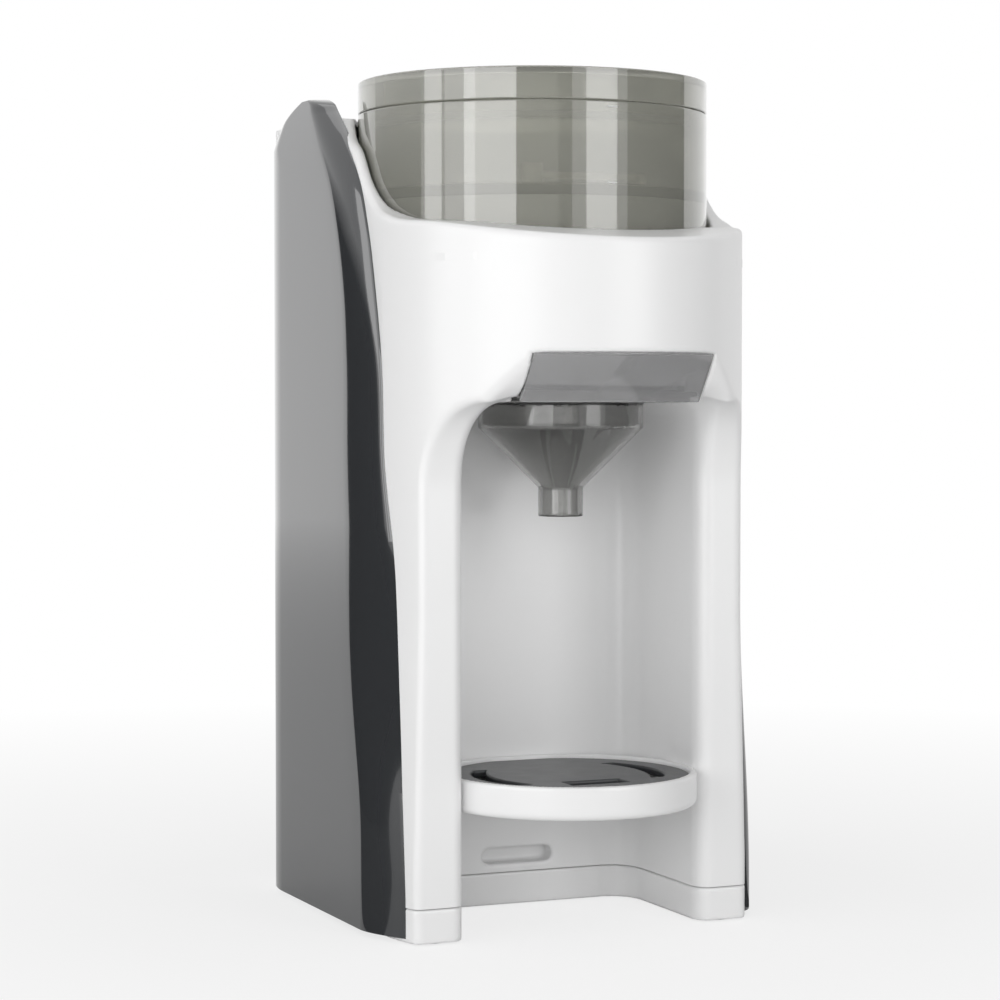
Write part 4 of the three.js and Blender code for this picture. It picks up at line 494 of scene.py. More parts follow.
def lathe(name, profile, centre_y, finish, body, replaced, edge=LATHE_EDGE):
    """A profile of (radius, height) points turned about an upright axis."""
    angles = np.linspace(0, 2 * math.pi, LATHE_STEPS, endpoint=False)
    rings = [
        np.column_stack([
            radius * np.cos(angles),
            centre_y + radius * np.sin(angles),
            np.full(LATHE_STEPS, height),
        ])
        for radius, height in profile
    ]
    faces = strips(len(profile), LATHE_STEPS, wraps=True)
    piece = new_piece(name, np.vstack(rings), faces, finish, body, replaced)
    tidy_mesh(piece)
    round_edges(piece, edge)
    keep_evaluated(piece)
    return piece


def strips(rows, columns, wraps=False):
    """Quads over a grid of points stored row by row."""
    last = columns if wraps else columns - 1
    return [
        (r * columns + c, r * columns + (c + 1) % columns,
         (r + 1) * columns + (c + 1) % columns, (r + 1) * columns + c)
        for r in range(rows - 1)
        for c in range(last)
    ]


def eased(at, knots, values):
    """A smooth curve through values at knots."""
    slopes = np.gradient(values, knots)
    i = np.clip(np.searchsorted(knots, at) - 1, 0, len(knots) - 2)
    span = knots[i + 1] - knots[i]
    t = (at - knots[i]) / span
    return (
        values[i] * (1 + 2 * t) * (1 - t) ** 2
        + values[i + 1] * t**2 * (3 - 2 * t)
        + span * slopes[i] * t * (1 - t) ** 2
        - span * slopes[i + 1] * t**2 * (1 - t)
    )


# Distance fields: negative inside, in millimetres
def oval(a, b, radius_a, radius_b):
    near = np.hypot(a / radius_a, b / radius_b)
    slope = np.hypot(a / radius_a**2, b / radius_b**2)
    reach = np.where(slope > 0, near / np.where(slope > 0, slope, 1), min(radius_a, radius_b))
    return (near - 1) * reach


def outline_distance(a, b, corners):
    """Distance to a closed outline of (a, b) corners."""
    nearest = np.inf
    inside = np.zeros(1, bool)
    for (a0, b0), (a1, b1) in zip(corners, [*corners[1:], corners[0]]):
        along_a, along_b = a1 - a0, b1 - b0
        from_a, from_b = a - a0, b - b0
        share = np.clip((from_a * along_a + from_b * along_b) / (along_a**2 + along_b**2), 0, 1)
        off = (from_a - share * along_a) ** 2 + (from_b - share * along_b) ** 2
        nearest = np.minimum(nearest, off)
        if along_b:
            inside = inside ^ (((b0 > b) != (b1 > b)) & (from_a < from_b * along_a / along_b))
    return np.where(inside, -1, 1) * np.sqrt(nearest)


def both(a, b, radius=0):
    """What lies in both fields, with a rounded edge."""
    edge = np.hypot(np.maximum(a + radius, 0), np.maximum(b + radius, 0))
    return np.minimum(np.maximum(a, b), -radius) + edge


def less(a, b, radius=0):
    return both(a, -b, radius)


def between(value, low, high):
    return np.maximum(low - value, value - high)


def block(x, y, z, half_width, front, back, low, high, radius=0):
    plan = both(np.abs(x) - half_width, between(y, front, back), radius)
    return both(plan, between(z, low, high), radius)


def rod(x, y, z, place, radius, low, high, edge=0):
    return both(np.hypot(x - place[0], y - place[1]) - radius, between(z, low, high), edge)


def round_plan(x, y, half_width, front, back, corner):
    """A rectangle with round corners, seen from above."""
    reach_x = np.abs(x) - (half_width - corner)
    reach_y = np.abs(y - (front + back) / 2) - ((back - front) / 2 - corner)
    outside = np.hypot(np.maximum(reach_x, 0), np.maximum(reach_y, 0))
    return outside + np.minimum(np.maximum(reach_x, reach_y), 0) - corner


def slope_of(field, points, step):
    """The field's gradient at scattered points."""
    return np.column_stack([
        (field(*(points + shift).T) - field(*(points - shift).T)) / (2 * step)
        for shift in np.eye(3) * step
    ])


def net(field, low, high, step):
    """Points and quads of the surface where a field is zero, on a grid between two corners."""
    axes = [np.arange(a - step, b + 2 * step, step) for a, b in zip(low, high)]
    x, y, z = axes[0][:, None, None], axes[1][None, :, None], axes[2][None, None, :]
    shape = tuple(len(axis) for axis in axes)
    values = np.broadcast_to(field(x, y, z), shape).astype(np.float32)
    inside = values < 0
    corners = [(i, j, k) for i in (0, 1) for j in (0, 1) for k in (0, 1)]
    cells = tuple(size - 1 for size in shape)
    count = sum(
        inside[i:i + cells[0], j:j + cells[1], k:k + cells[2]].astype(np.int8) for i, j, k in corners
    )
    used = (count > 0) & (count < len(corners))
    numbers = np.full(cells, -1)
    numbers[used] = np.arange(used.sum())
    where = np.argwhere(used)
    total = np.zeros((len(where), 3))
    hits = np.zeros(len(where))
    for start in corners:
        for axis in range(3):
            if start[axis]:
                continue
            end = np.array(start)
            end[axis] = 1
            first = values[tuple((where + start).T)]
            second = values[tuple((where + end).T)]
            crossed = (first < 0) != (second < 0)
            share = first[crossed] / (first[crossed] - second[crossed])
            total[crossed] += start
            total[crossed, axis] += share
            hits += crossed
    points = (where + total / hits[:, None]) * step + [axis[0] for axis in axes]
    faces = []
    for axis in range(3):
        others = [other for other in range(3) if other != axis]
        lower = np.take(inside, range(cells[axis]), axis)
        upper = np.take(inside, range(1, shape[axis]), axis)
        crossing = np.argwhere(lower != upper)
        inner = np.all([(crossing[:, o] > 0) & (crossing[:, o] < cells[o]) for o in others], axis=0)
        crossing = crossing[inner]
        quad = []
        for back_a, back_b in ((1, 1), (0, 1), (0, 0), (1, 0)):
            cell = crossing.copy()
            cell[:, others[0]] -= back_a
            cell[:, others[1]] -= back_b
            quad.append(numbers[tuple(cell.T)])
        quads = np.column_stack(quad)
        flipped = lower[tuple(crossing.T)] != (axis == 1)
        quads[~flipped] = quads[~flipped][:, ::-1]
        faces.append(quads)
    return points, np.vstack(faces)


def moulded(name, field, finish, body, replaced, planes=()):
    """A piece whose skin is the zero surface of a field, drawn exactly onto it."""
    low, high, step = GRIDS[name]
    points, faces = net(field, low, high, step)
    most = step * LARGEST_SHIFT
    for _ in range(DRAWING_ROUNDS):
        slope = slope_of(field, points, step * PROBE_REACH)
        steep = np.maximum((slope**2).sum(1), LEAST_STEEPNESS)
        shift = slope * (field(*points.T) / steep)[:, None]
        points -= np.clip(shift, -most, most)
    piece = new_piece(name, points, faces.tolist(), finish, body, replaced)
    if planes:
        tidy_mesh(piece, planes)
    return piece


# White body
def flank_ease(y, z):
    """How far the white body's flanks draw in between its widest place and its nose."""
    share = np.clip(-y / NOSE_REACH, 0, 1)
    return 4 * share * (1 - share) * np.interp(z, FLANK_HEIGHTS, FLANK_EASES)


def body_half_width(y, z):
    front = np.minimum(y, 0)
    full = BODY_HALF_WIDTH * np.sqrt(1 - (front / NOSE_REACH) ** 2)
    lean = np.hypot(full / BODY_HALF_WIDTH**2, front / NOSE_REACH**2) * BODY_HALF_WIDTH**2
    return full - flank_ease(y, z) * lean / np.maximum(full, SMALL_EDGE)


def nose_y(x):
    """The white body's front at a place across, with the same drawn-in flanks."""
    front = np.linspace(-NOSE_REACH, 0, NOSE_STEPS)
    return np.interp(np.abs(x), body_half_width(front, RECESS_TOP_Z), front)


def side_outline():
    """Side view of the white body: pillar, sweep of the arch, underside of the head and the wings."""
    turn = np.linspace(0, math.pi / 2, SWEEP_STEPS)
    sweep_y = ARCH_FRONT_Y + (PILLAR_FRONT_Y - ARCH_FRONT_Y) * np.cos(turn)
    sweep_z = CEILING_Z - ARCH_DROP + ARCH_DROP * np.sin(turn)
    run = HOUSING_REAR_Y + NOSE_REACH
    shares = np.linspace(0, 1, WING_STEPS)
    rise = eased(shares, np.array(WING_RUN_SHARES), np.array(WING_RISE_SHARES))
    wing = zip(-NOSE_REACH + run * shares, NOSE_TOP_Z + (WING_TOP_Z - NOSE_TOP_Z) * rise)
    return [
        (FAR, -FAR),
        (PILLAR_FRONT_Y, -FAR),
        *zip(sweep_y, sweep_z),
        (RECESS_TOP_Y, RECESS_TOP_Z),
        (-FAR, RECESS_TOP_Z),
        (-FAR, NOSE_TOP_Z),
        *wing,
        (FAR, WING_TOP_Z),
    ]


SIDE_OUTLINE = side_outline()


def white_body(x, y, z):
    plan = oval(x, np.minimum(y, 0), BODY_HALF_WIDTH, NOSE_REACH) + flank_ease(y, z)
    side = outline_distance(y, z, SIDE_OUTLINE)
    shoulder_x = np.maximum(np.abs(x) - (ALCOVE_HALF_WIDTH - SHOULDER_WIDTH), 0)
    shoulder_z = np.maximum(z - (CEILING_Z - SHOULDER_DROP), 0)
    arch = oval(shoulder_x, shoulder_z, SHOULDER_WIDTH, SHOULDER_DROP)
    room = round_plan(x, y, ALCOVE_HALF_WIDTH, -FAR, ALCOVE_BACK_Y, ALCOVE_CORNER)
    alcove = both(arch, room, CEILING_FILLET)
    return less(both(plan, side, HEAD_EDGE_RADIUS), alcove, ARCH_FILLET)


def hook_slots(x, y, z):
    radius = HOOK_HEIGHT / 2
    along = np.maximum(np.abs(x) - (HOOK_HALF_WIDTH - radius), 0)
    slots = np.minimum(*[np.hypot(along, z - height) - radius for height in HOOK_HEIGHTS])
    return np.maximum(slots, between(y, 0, ALCOVE_BACK_Y + HOOK_DEPTH))


def housing(x, y, z):
    outer = white_body(x, y, z)
    seat = rod(x, y, z, (0, CONTAINER_Y), SEAT_RADIUS, DECK_TOP, FAR)
    solid = less(less(outer, seat, SEAT_EDGE), hook_slots(x, y, z), SMALL_EDGE)
    shell = less(solid, solid + WALL)
    deck_room = both(outer + WALL + GAP, between(z, DECK_BOTTOM - GAP, DECK_TOP + GAP))
    shell = less(shell, deck_room)
    cover_room = block(
        x, y, z, COVER_HALF_WIDTH, -FAR, COVER_SLOT_BACK_Y, COVER_SLOT_LOW_Z, RECESS_TOP_Z + GAP
    )
    tray_room = block(
        x, y, z, TRAY_SLOT_HALF, -FAR, TRAY_SLOT_BACK_Y, CEILING_Z - WALL, CEILING_Z + 2 * WALL
    )
    flange_room = block(
        x, y, z, TRAY_HALF_WIDTH + GAP, -FAR, TRAY_SLOT_BACK_Y, FLANGE_BOTTOM - GAP, FLANGE_TOP + GAP
    )
    lined = np.minimum(shell, np.maximum(outer, cover_room - WALL))
    return less(less(less(lined, cover_room, SMALL_EDGE), tray_room, SMALL_EDGE), flange_room)


def base(x, y, z):
    rear = np.maximum(np.abs(x) - REAR_HALF_WIDTH, between(y, HOUSING_REAR_Y, REAR_Y))
    front = np.maximum(white_body(x, y, z), y - REAR_Y)
    tank_foot = round_plan(x, y, TANK_HALF_WIDTH, HOUSING_REAR_Y, BASE_REAR_Y, TANK_CORNER)
    plan = np.minimum(np.minimum(front, rear), tank_foot)
    solid = both(plan, between(z, RIM_BOTTOM, BASE_TOP), SMALL_EDGE)
    under_top = BASE_TOP - BASE_TOP_THICKNESS
    shell = less(solid, both(plan + WALL, z - under_top))
    low, high = BASE_BOTTOM, BASE_TOP - GAP
    for place in FOOT_PLACES:
        shell = np.minimum(shell, rod(np.abs(x), y, z, place, FOOT_RADIUS, low, high))
    for place in SCREW_PLACES:
        shell = np.minimum(shell, rod(np.abs(x), y, z, place, SCREW_TUBE_RADIUS, low, high))
        shell = less(shell, rod(np.abs(x), y, z, place, SCREW_HOLE_RADIUS, -FAR, under_top))
    inlet = block(
        x - INLET_X, y, z, INLET_HALF_WIDTH + GAP, BASE_REAR_Y - INLET_DEPTH - GAP, FAR,
        INLET_LOW - GAP, INLET_HIGH + GAP
    )
    return less(shell, inlet)


def add_white_body():
    bottom = ((0, 0, HOUSING_BOTTOM), (0, 0, -1))
    rear = ((0, HOUSING_REAR_Y, 0), (0, 1, 0))
    replaced = ["front_housing", "alcove_liner"]
    moulded("white_housing", housing, "white_plastic", "root", replaced, planes=[bottom, rear])
    moulded("white_base", base, "white_plastic", "root", ["base_plate"])


# Side panels
def panel_edges():
    """Heights of a side panel's levels, with its front edge, crease and rear edge at each."""
    shares = np.linspace(0, 1, PANEL_LEVELS)
    knots, *edges = PANEL_SHARES.T
    depth = REAR_Y - PANEL_FRONT_Y
    edge, crease, rear = (PANEL_FRONT_Y + depth * eased(shares, knots, values) for values in edges)
    heights = PANEL_BOTTOM + (PANEL_TOP - PANEL_BOTTOM) * shares
    return heights[:, None], edge[:, None], crease[:, None], np.minimum(rear, REAR_Y)[:, None]


def panel_rows(side):
    """How far out a side panel's outer and inner skin lie, and the places along and up that go with
    them: a row for each level, from the front edge over the crease to the rear edge."""
    heights, edge, crease, rear = panel_edges()
    shares = np.linspace(0, 1, PANEL_LEVELS)[:, None]
    pull = np.interp(shares, BEND_LEVEL_SHARES, BEND_CONTROL_SHARES[side])
    control = crease + (edge - crease) * pull
    bend = np.linspace(0, 1, PANEL_BEND_STEPS)[None, :]
    left = 1 - bend
    bend_x = body_half_width(edge, heights) * left**2 + PANEL_HALF_WIDTH * (1 - left**2)
    bend_y = edge * left**2 + 2 * control * bend * left + crease * bend**2
    run = np.linspace(0, 1, PANEL_SIDE_STEPS + 1)[None, 1:]
    turn_y = rear - np.minimum(PANEL_TURN, (rear - crease) / 2)
    flat_y = crease + (turn_y - crease) * run
    turned_y = turn_y + (rear - turn_y) * run
    along = np.hstack([bend_y, flat_y, turned_y])
    up = np.repeat(heights, along.shape[1], 1)
    side_x = np.full((PANEL_LEVELS, 2 * PANEL_SIDE_STEPS), PANEL_HALF_WIDTH)
    outer = np.hstack([bend_x, side_x])
    from_rear = (along - rear) / PANEL_TURN + 1
    from_top = (up - PANEL_TOP) / PANEL_TOP_TURN + 1
    turn = np.clip(np.maximum(from_rear, from_top), 0, 1)
    return outer - PANEL_TURN_IN * turn**2, outer - PANEL_WALL, along, up


def add_side_panel(side, name, node):
    """A closed panel: each level runs along the outer skin and back along the inner one."""
    outer, inner, along, up = panel_rows(side)
    skins = [np.stack([side * across, along, up], axis=-1) for across in (outer, inner)]
    points = np.hstack([skins[0], skins[1][:, ::-1]])
    rows, columns = points.shape[:2]
    faces = strips(rows, columns, wraps=True)
    for start in (0, (rows - 1) * columns):
        faces += [
            (start + c, start + c + 1, start + columns - 2 - c, start + columns - 1 - c)
            for c in range(columns // 2 - 1)
        ]
    piece = new_piece(name, points.reshape(-1, 3), faces, "charcoal_gloss", "root", [node])
    tidy_mesh(piece)
    cutter = None
    if side > 0:
        cutter = window_cutter()
        hole = piece.modifiers.new("hole", "BOOLEAN")
        hole.object = cutter
        hole.operation = "DIFFERENCE"
    round_edges(piece, PANEL_EDGE_RADIUS, angle=PANEL_EDGE_ANGLE)
    keep_evaluated(piece)
    if cutter:
        bpy.data.objects.remove(cutter)
    return piece


def window_cutter():
    """The block that opens the right panel for the controls."""
    work = bmesh.new()
    bmesh.ops.create_cube(work, size=1)
    size = Vector((CUTTER_DEPTH, BEZEL_WIDTH, BEZEL_HEIGHT)) * MM
    bmesh.ops.scale(work, vec=size, verts=work.verts)
    centre = Vector((PANEL_HALF_WIDTH, BEZEL_Y + SPOUT_Y, BEZEL_Z)) * MM
    bmesh.ops.translate(work, vec=centre, verts=work.verts)
    mesh = bpy.data.meshes.new("window_cutter")
    work.to_mesh(mesh)
    work.free()
    cutter = add_object("window_cutter", mesh)
    cutter.hide_render = True
    return cutter


# Powder container and lid
def add_container():
    """The container: an outer wall, and a hopper with a deep flat floor set into it."""
    inner = CONTAINER_RADIUS - CONTAINER_WALL
    under = HOPPER_RADIUS + CONTAINER_WALL
    profile = [
        (BUSH_RADIUS, CONTAINER_BOTTOM),
        (under, CONTAINER_BOTTOM),
        (under, WELL_TOP - CONTAINER_WALL),
        (inner, SLOPE_TOP - 2 * CONTAINER_WALL),
        (inner, CONTAINER_BOTTOM),
        (CONTAINER_RADIUS, CONTAINER_BOTTOM),
        (CONTAINER_RADIUS, CONTAINER_TOP),
        (inner, CONTAINER_TOP),
        (inner, SLOPE_TOP),
        (HOPPER_RADIUS, WELL_TOP),
        (HOPPER_RADIUS, CONTAINER_BOTTOM + HOPPER_FLOOR),
        (BUSH_RADIUS, CONTAINER_BOTTOM + HOPPER_FLOOR),
        (BUSH_RADIUS, CONTAINER_BOTTOM),
    ]
    replaced = ["powder_container"]
    lathe("container_shell", profile, CONTAINER_Y, "container_smoke", "container", replaced)


def add_container_lid():
    plug_inner = LID_PLUG_RADIUS - LID_PLUG_WALL
    profile = [
        (0, LID_TOP - LID_THICKNESS),
        (plug_inner, LID_TOP - LID_THICKNESS),
        (plug_inner, LID_PLUG_BOTTOM),
        (LID_PLUG_RADIUS, LID_PLUG_BOTTOM),
        (LID_PLUG_RADIUS, LID_BOTTOM),
        (CONTAINER_RADIUS, LID_BOTTOM),
        (CONTAINER_RADIUS, LID_TOP),
        (0, LID_TOP),
    ]
    lathe("lid_shell", profile, CONTAINER_Y, "container_smoke", "lid", ["container_lid"])


def add_level_marks():
    """Short plain lines on the container's wall, each a thin bar bent round it."""
    section = [(0, 0), (MARK_PROUD, 0), (MARK_PROUD, MARK_HEIGHT), (0, MARK_HEIGHT)]
    last = MARK_STEPS * len(section) - 1
    ends = [tuple(range(len(section))), tuple(last - corner for corner in range(len(section)))]
    points = []
    faces = []
    for level in MARK_LEVELS:
        first = len(points)
        for angle in np.linspace(MARK_START, MARK_END, MARK_STEPS):
            for out, rise in section:
                radius = CONTAINER_RADIUS + out
                place_y = CONTAINER_Y - radius * math.cos(angle)
                points.append((radius * math.sin(angle), place_y, level + rise))
        for corners in strips(MARK_STEPS, len(section), wraps=True) + ends:
            faces.append(tuple(first + corner for corner in corners))
    marks = new_piece("level_marks", points, faces, "pale_print", "container")
    tidy_mesh(marks)


# Funnel and cover
def funnel_field(x, y, z):
    inner_spout = SPOUT_RADIUS - FUNNEL_WALL
    inner_mouth = FUNNEL_RADIUS - FUNNEL_WALL
    lift = FUNNEL_WALL * (math.sqrt(2) - 1)
    profile = [
        (inner_spout, SPOUT_BOTTOM),
        (SPOUT_RADIUS, SPOUT_BOTTOM),
        (SPOUT_RADIUS, SPOUT_TOP),
        (FUNNEL_RADIUS, CONE_TOP),
        (FUNNEL_RADIUS, FLANGE_TOP),
        (inner_mouth, FLANGE_TOP),
        (inner_mouth, CONE_TOP + lift),
        (inner_spout, SPOUT_TOP + lift),
    ]
    from_axis = np.hypot(x, y)
    bowl = outline_distance(from_axis, z, profile)
    front, back = TRAY_FRONT_Y, TRAY_BACK_Y
    tongue = block(x, y, z, TRAY_TONGUE_HALF, front, back, CEILING_Z, TRAY_TOP, SMALL_EDGE)
    flange = block(x, y, z, TRAY_HALF_WIDTH, front, back, FLANGE_BOTTOM, FLANGE_TOP, SMALL_EDGE)
    tray = less(np.minimum(tongue, flange), from_axis - inner_mouth)
    return np.minimum(bowl, tray)


def add_funnel():
    moulded("smoked_funnel", funnel_field, "smoked_plastic", "funnel", ["funnel"])


def add_cover():
    """The slanted plate before the funnel, whose top edge follows the head's front."""
    across = np.linspace(-TRAY_HALF_WIDTH, TRAY_HALF_WIDTH, COVER_STEPS)
    top_y = nose_y(across)
    low_y = TRAY_FRONT_Y - GAP - COVER_WALL
    rows = [
        np.column_stack([
            across,
            low_y + (top_y - low_y) * share,
            np.full(COVER_STEPS, CEILING_Z + (RECESS_TOP_Z - CEILING_Z) * share),
        ])
        for share in np.linspace(0, 1, COVER_ROWS)
    ]
    faces = strips(COVER_ROWS, COVER_STEPS)
    cover = new_piece(
        "smoked_cover", np.vstack(rows), faces, "cover_smoke", "funnel", ["funnel_cover"]
    )
    skin = cover.modifiers.new("skin", "SOLIDIFY")
    skin.thickness = COVER_WALL * MM
    skin.offset = -1
    round_edges(cover, SMALL_EDGE / 2, angle=BLUNT_EDGE_ANGLE)
    keep_evaluated(cover)


# Bottle stand and drip grid
def stand_field(x, y, z):
    reach = np.hypot(x, y - STAND_Y)
    inner = STAND_RADIUS - STAND_WALL
    solid = both(reach - STAND_RADIUS, STAND_BOTTOM - z, STAND_LOWER_EDGE)
    solid = both(solid, z - STAND_TOP, SEAT_EDGE)
    solid = both(solid, y - STAND_BACK_Y, SMALL_EDGE)
    rear = STAND_BACK_Y - STAND_WALL
    recess = np.maximum(np.maximum(reach - inner, y - rear), GRID_BOTTOM - GAP - z)
    well_reach = np.maximum(reach - (inner - STAND_LEDGE), y - rear)
    well = np.maximum(well_reach, STAND_BOTTOM + STAND_FLOOR - z)
    dish = less(less(solid, recess, SMALL_EDGE / 2), well)
    radius = HOOK_HEIGHT / 2 - GAP
    along = np.maximum(np.abs(x) - (HOOK_HALF_WIDTH - GAP - radius), 0)
    tab_end = between(y, rear, STAND_BACK_Y + STAND_TAB_REACH)
    tab = both(np.hypot(along, z - HOOK_HEIGHTS[0]) - radius, tab_end, SMALL_EDGE)
    return np.minimum(dish, tab)


def grid_field(x, y, z):
    reach = np.hypot(x, y - STAND_Y)
    plan = np.maximum(reach - GRID_RADIUS, y - GRID_BACK_Y)
    plate = both(plan, between(z, GRID_BOTTOM, GRID_TOP), SMALL_EDGE / 2)
    moon = less(reach - CRESCENT_OUTER, oval(x, y - STAND_Y, CRESCENT_INNER, CRESCENT_OUTER))
    moon = both(moon, np.abs(y - STAND_Y) - CRESCENT_REACH)
    slot = both(np.abs(x) - GRID_SLOT_HALF, np.abs(y - GRID_SLOT_Y) - GRID_SLOT_HALF_DEPTH)
    return less(plate, np.minimum(moon, slot), SMALL_EDGE / 2)


def add_stand():
    moulded("white_stand", stand_field, "white_plastic", "stand", ["bottle_stand"])
    moulded("dark_grid", grid_field, "dark_plastic", "grid", ["drip_grid"])


# Water tank
def tank_field(x, y, z):
    plan = round_plan(x, y, TANK_HALF_WIDTH, TANK_FRONT_Y, TANK_REAR_Y, TANK_CORNER)
    square = round_plan(x, y, TANK_HALF_WIDTH, TANK_FRONT_Y, TANK_REAR_Y, TANK_FRONT_CORNER)
    middle = (TANK_FRONT_Y + TANK_REAR_Y) / 2
    plan = np.where(y > middle, plan, square)
    body = both(plan, between(z, TANK_BOTTOM, TANK_TOP), TANK_EDGE)
    shell = less(body, body + TANK_WALL)
    mouth = block(
        x, y, z, MOUTH_HALF_WIDTH, MOUTH_FRONT_Y, MOUTH_REAR_Y, TANK_TOP - 2 * TANK_WALL, FAR
    )
    shell = less(shell, mouth, SMALL_EDGE)
    neck_top = TANK_BOTTOM + TANK_WALL
    neck = rod(x, y, z, (0, NECK_Y), NECK_RADIUS, NECK_BOTTOM, neck_top, SMALL_EDGE)
    ear_x = HINGE_HALF_LENGTH - HINGE_EAR_WIDTH / 2
    ear_side = np.abs(np.abs(x) - ear_x) - HINGE_EAR_WIDTH / 2
    ear_face = np.minimum(
        np.hypot(y - HINGE_Y, z - HINGE_Z) - HINGE_EAR_RADIUS,
        np.maximum(np.abs(y - HINGE_Y) - HINGE_EAR_RADIUS, between(z, TANK_TOP - TANK_EDGE, HINGE_Z)),
    )
    ears = both(ear_face, ear_side, SMALL_EDGE / 2)
    whole = np.minimum(np.minimum(shell, neck), ears)
    bore = np.where(z < NECK_BORE_TOP, NECK_BORE, 0)
    bored = less(whole, np.hypot(x, y - NECK_Y) - bore)
    return less(bored, np.hypot(y - HINGE_Y, z - HINGE_Z) - HINGE_BORE)


def tank_lid_field(x, y, z):
    half_width, past_rear = TANK_HALF_WIDTH, TANK_REAR_Y + TANK_CORNER
    front = round_plan(x, y, half_width, TANK_FRONT_Y, past_rear, TANK_FRONT_CORNER)
    rear = round_plan(x, y, half_width, TANK_FRONT_Y - TANK_CORNER, TANK_REAR_Y, TANK_CORNER)
    plan = np.maximum(np.maximum(front, rear), y - TANK_LID_REAR_Y)
    plate = both(plan, between(z, TANK_LID_BOTTOM, TANK_LID_TOP), SMALL_EDGE)
    half = HINGE_HALF_LENGTH - HINGE_EAR_WIDTH - GAP
    barrel = np.hypot(y - HINGE_Y, z - HINGE_Z) - HINGE_EAR_RADIUS
    web_height = between(z, TANK_LID_BOTTOM + GAP, HINGE_Z)
    web = np.maximum(between(y, TANK_LID_REAR_Y - WALL, HINGE_Y), web_height)
    knuckle = both(np.minimum(barrel, web), np.abs(x) - half, SMALL_EDGE / 2)
    whole = np.minimum(plate, knuckle)
    return less(whole, np.hypot(y - HINGE_Y, z - HINGE_Z) - HINGE_BORE)


def add_tank():
    moulded("tank_shell", tank_field, "smoked_plastic", "tank", ["water_tank"])
    moulded("tank_flap", tank_lid_field, "dark_plastic", "tank_lid", ["tank_lid"])


# Buttons
def add_button(node):
    """A cap with a collar behind it, turned about its own axis and then laid along x."""
    low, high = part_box(node)
    centre_y = (low.y + high.y) / 2 / MM - SPOUT_Y
    centre_z = (low.z + high.z) / 2 / MM
    collar = (high.z - low.z) / 2 / MM
    radius = collar - COLLAR_WIDTH
    back, front = low.x / MM, high.x / MM
    step = back + COLLAR_THICKNESS
    profile = [(0, back), (collar, back), (collar, step), (radius, step), (radius, front), (0, front)]
    body = frame["nodes"][node]["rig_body"]
    cap = lathe(node + "_cap", profile, 0, "grey_plastic", body, [node], BUTTON_EDGE)
    for vertex in cap.data.vertices:
        height = vertex.co.z / MM
        across = vertex.co.x / MM
        along = vertex.co.y / MM - SPOUT_Y
        vertex.co = Vector((height, centre_y + along + SPOUT_Y, centre_z - across)) * MM


# Nodes of the frame that no piece stands for
def dress_nodes():
    """Gives them a procedural finish and softened edges."""
    slots = {part["node"]: part["material_slot"] for part in frame["record"]["subparts"]}
    for name, node in frame["nodes"].items():
        if node.hide_render:
            continue
        finish = "pale_rubber" if name.startswith("foot") else slots[name]
        node.data.materials.clear()
        node.data.materials.append(MATERIALS[finish])
        round_edges(node, GAP, angle=BLUNT_EDGE_ANGLE, steps=2)


# Stage, light and camera
def add_floor():
    """A pale floor that turns plain white with distance, as the camera, glass and gloss see it."""
    mesh = bpy.data.meshes.new("floor")
    corners = [(-1, -1), (1, -1), (1, 1), (-1, 1)]
    mesh.from_pydata([(a * FLOOR_REACH, b * FLOOR_REACH, 0) for a, b in corners], [], [(0, 1, 2, 3)])
    add_object("floor", mesh)
    finish, tree, shader = node_material("floor")
    socket_set(shader, Base_Color=FLOOR_COLOUR, Roughness=FLOOR_ROUGHNESS, Specular_IOR_Level=0)
    place = tree.nodes.new("ShaderNodeTexCoord").outputs["Object"]
    reach = linked(tree, "ShaderNodeVectorMath", Vector=place)
    reach.operation = "LENGTH"
    from_middle = linked(
        tree, "ShaderNodeMapRange", Value=reach.outputs["Value"],
        From_Min=FLOOR_FADE_START, From_Max=FLOOR_FADE_END, To_Min=FLOOR_NEAR_WHITE
    )
    far = linked(
        tree, "ShaderNodeMapRange", Value=reach.outputs["Value"],
        From_Min=FLOOR_FADE_START, From_Max=FLOOR_MIRROR_END
    )
    ray = tree.nodes.new("ShaderNodeLightPath").outputs
    seen = math_node(tree, "MAXIMUM", ray["Is Camera Ray"], ray["Is Transmission Ray"])
    plain = math_node(tree, "MULTIPLY", seen, from_middle.outputs["Result"])
    mirrored = math_node(tree, "MULTIPLY", ray["Is Glossy Ray"], far.outputs["Result"])
    share = math_node(tree, "MAXIMUM", plain, mirrored)
    glow = linked(tree, "ShaderNodeEmission", Color=WHITE, Strength=1)
    blend = linked(tree, "ShaderNodeMixShader", Fac=share)
    tree.links.new(shader.outputs["BSDF"], blend.inputs[1])
    tree.links.new(glow.outputs["Emission"], blend.inputs[2])
    tree.links.new(blend.outputs["Shader"], tree.nodes["Material Output"].inputs["Surface"])
    mesh.materials.append(finish)


def add_world():
    """White where the camera, gloss and glass look out, and a dimmer white as light."""
    world = bpy.data.worlds.new("studio")
    world.use_nodes = True
    bpy.context.scene.world = world
    tree = world.node_tree
    ray = tree.nodes.new("ShaderNodeLightPath").outputs
    seen = math_node(tree, "MAXIMUM", ray["Is Camera Ray"], ray["Is Glossy Ray"])
    seen = math_node(tree, "MAXIMUM", seen, ray["Is Transmission Ray"])
    strength = linked(tree, "ShaderNodeMapRange", Value=seen, To_Min=AMBIENT, To_Max=1)
    background = tree.nodes["Background"]
    background.inputs["Color"].default_value = WHITE
    tree.links.new(strength.outputs["Result"], background.inputs["Strength"])


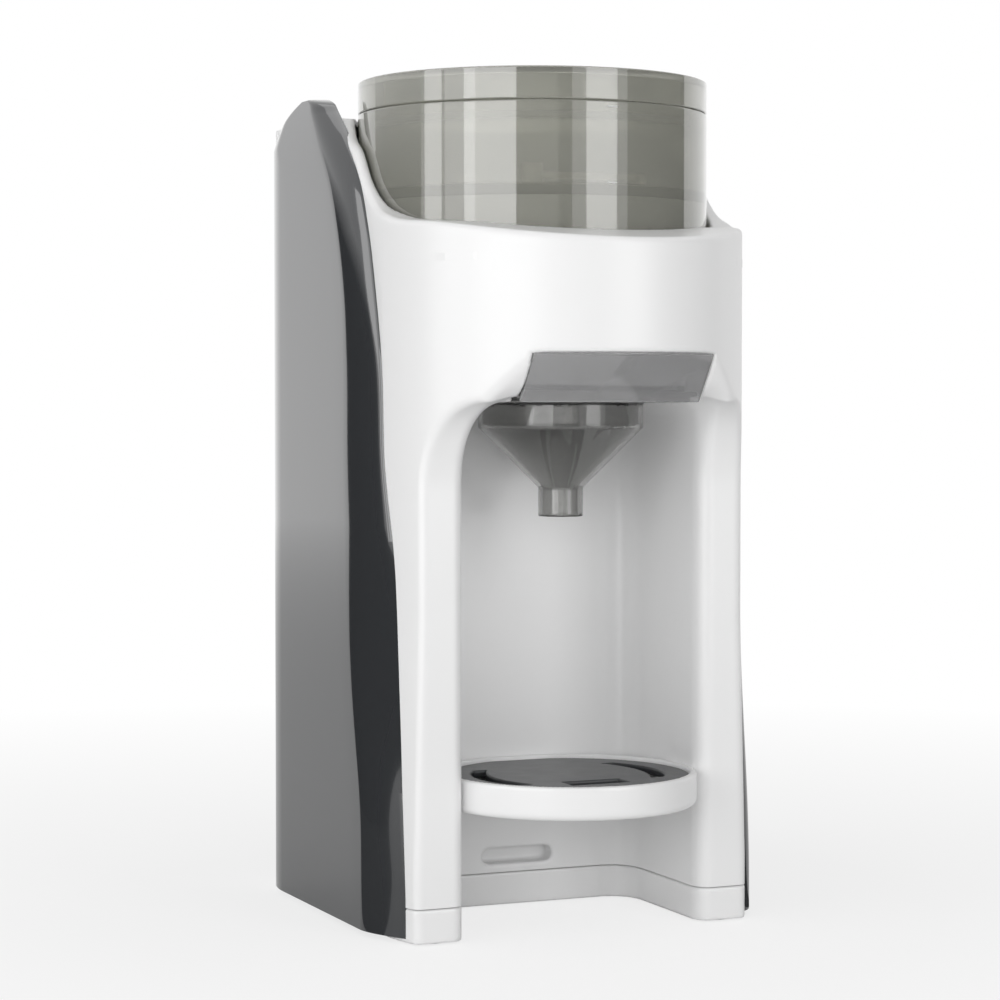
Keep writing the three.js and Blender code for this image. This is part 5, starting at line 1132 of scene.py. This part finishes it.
def add_lamps():
    """Soft boxes round the machine, all aimed at its middle."""
    for name, turn, distance, rise, width, height, power in LAMPS:
        light = bpy.data.lights.new(name, "AREA")
        light.shape = "RECTANGLE"
        light.size = width
        light.size_y = height
        light.energy = power
        lamp = add_object(name, light)
        lamp.visible_camera = False
        angle = CAMERA_TURN + math.radians(turn)
        lamp.location = (-distance * math.sin(angle), -distance * math.cos(angle), rise)
        aim = Vector((0, 0, STAGE_MIDDLE)) - lamp.location
        lamp.rotation_mode = "QUATERNION"
        lamp.rotation_quaternion = aim.to_track_quat("-Z", "Y")


def add_cards():
    """Dark cards round the machine, each upright with a floor part, that only gloss shows."""
    for name, place, start, end, full, none in CARDS:
        finish, tree, shader = node_material(name)
        socket_set(shader, Base_Color=CARD_COLOUR, Roughness=1)
        point = tree.nodes.new("ShaderNodeTexCoord").outputs["Object"]
        height = linked(tree, "ShaderNodeSeparateXYZ", Vector=point).outputs["Z"]
        dark = linked(
            tree, "ShaderNodeMapRange", Value=height, From_Min=full, From_Max=none, To_Min=1, To_Max=0
        )
        tree.links.new(dark.outputs["Result"], shader.inputs["Alpha"])
        turns = [CAMERA_TURN + math.radians(turn) for turn in (start, end)]
        ends = [
            (place[0] - CARD_DISTANCE * math.sin(turn), place[1] - CARD_DISTANCE * math.cos(turn))
            for turn in turns
        ]
        mesh = bpy.data.meshes.new(name)
        corners = [(*place, CARD_LIFT), *[(x, y, z) for z in (CARD_LIFT, none) for x, y in ends]]
        mesh.from_pydata(corners, [], [(0, 1, 2), (1, 2, 4, 3)])
        mesh.materials.append(finish)
        card = add_object(name, mesh)
        card.visible_camera = False
        card.visible_diffuse = False
        card.visible_shadow = False
        card.visible_transmission = False
        card.visible_volume_scatter = False


def add_camera():
    data = bpy.data.cameras.new("camera")
    data.lens = LENS
    data.sensor_width = SENSOR
    data.clip_start = CLIP_START
    data.clip_end = CLIP_END
    camera = add_object("camera", data)
    camera.location = CAMERA_PLACE
    level = math.cos(CAMERA_DIP)
    aim_x, aim_y = math.sin(CAMERA_TURN) * level, math.cos(CAMERA_TURN) * level
    aim = Vector((aim_x, aim_y, -math.sin(CAMERA_DIP)))
    camera.rotation_mode = "QUATERNION"
    camera.rotation_quaternion = aim.to_track_quat("-Z", "Y")
    bpy.context.scene.camera = camera


add_camera()
add_white_body()
add_side_panel(-1, "left_panel_skin", "left_side_panel")
add_side_panel(1, "right_panel_skin", "right_side_panel")
add_container()
add_container_lid()
add_level_marks()
add_funnel()
add_cover()
add_stand()
add_tank()
for button in BUTTONS:
    add_button(button)
dress_nodes()
add_floor()
add_world()
add_lamps()
add_cards()
bpy.context.scene.view_settings.view_transform = "Standard"
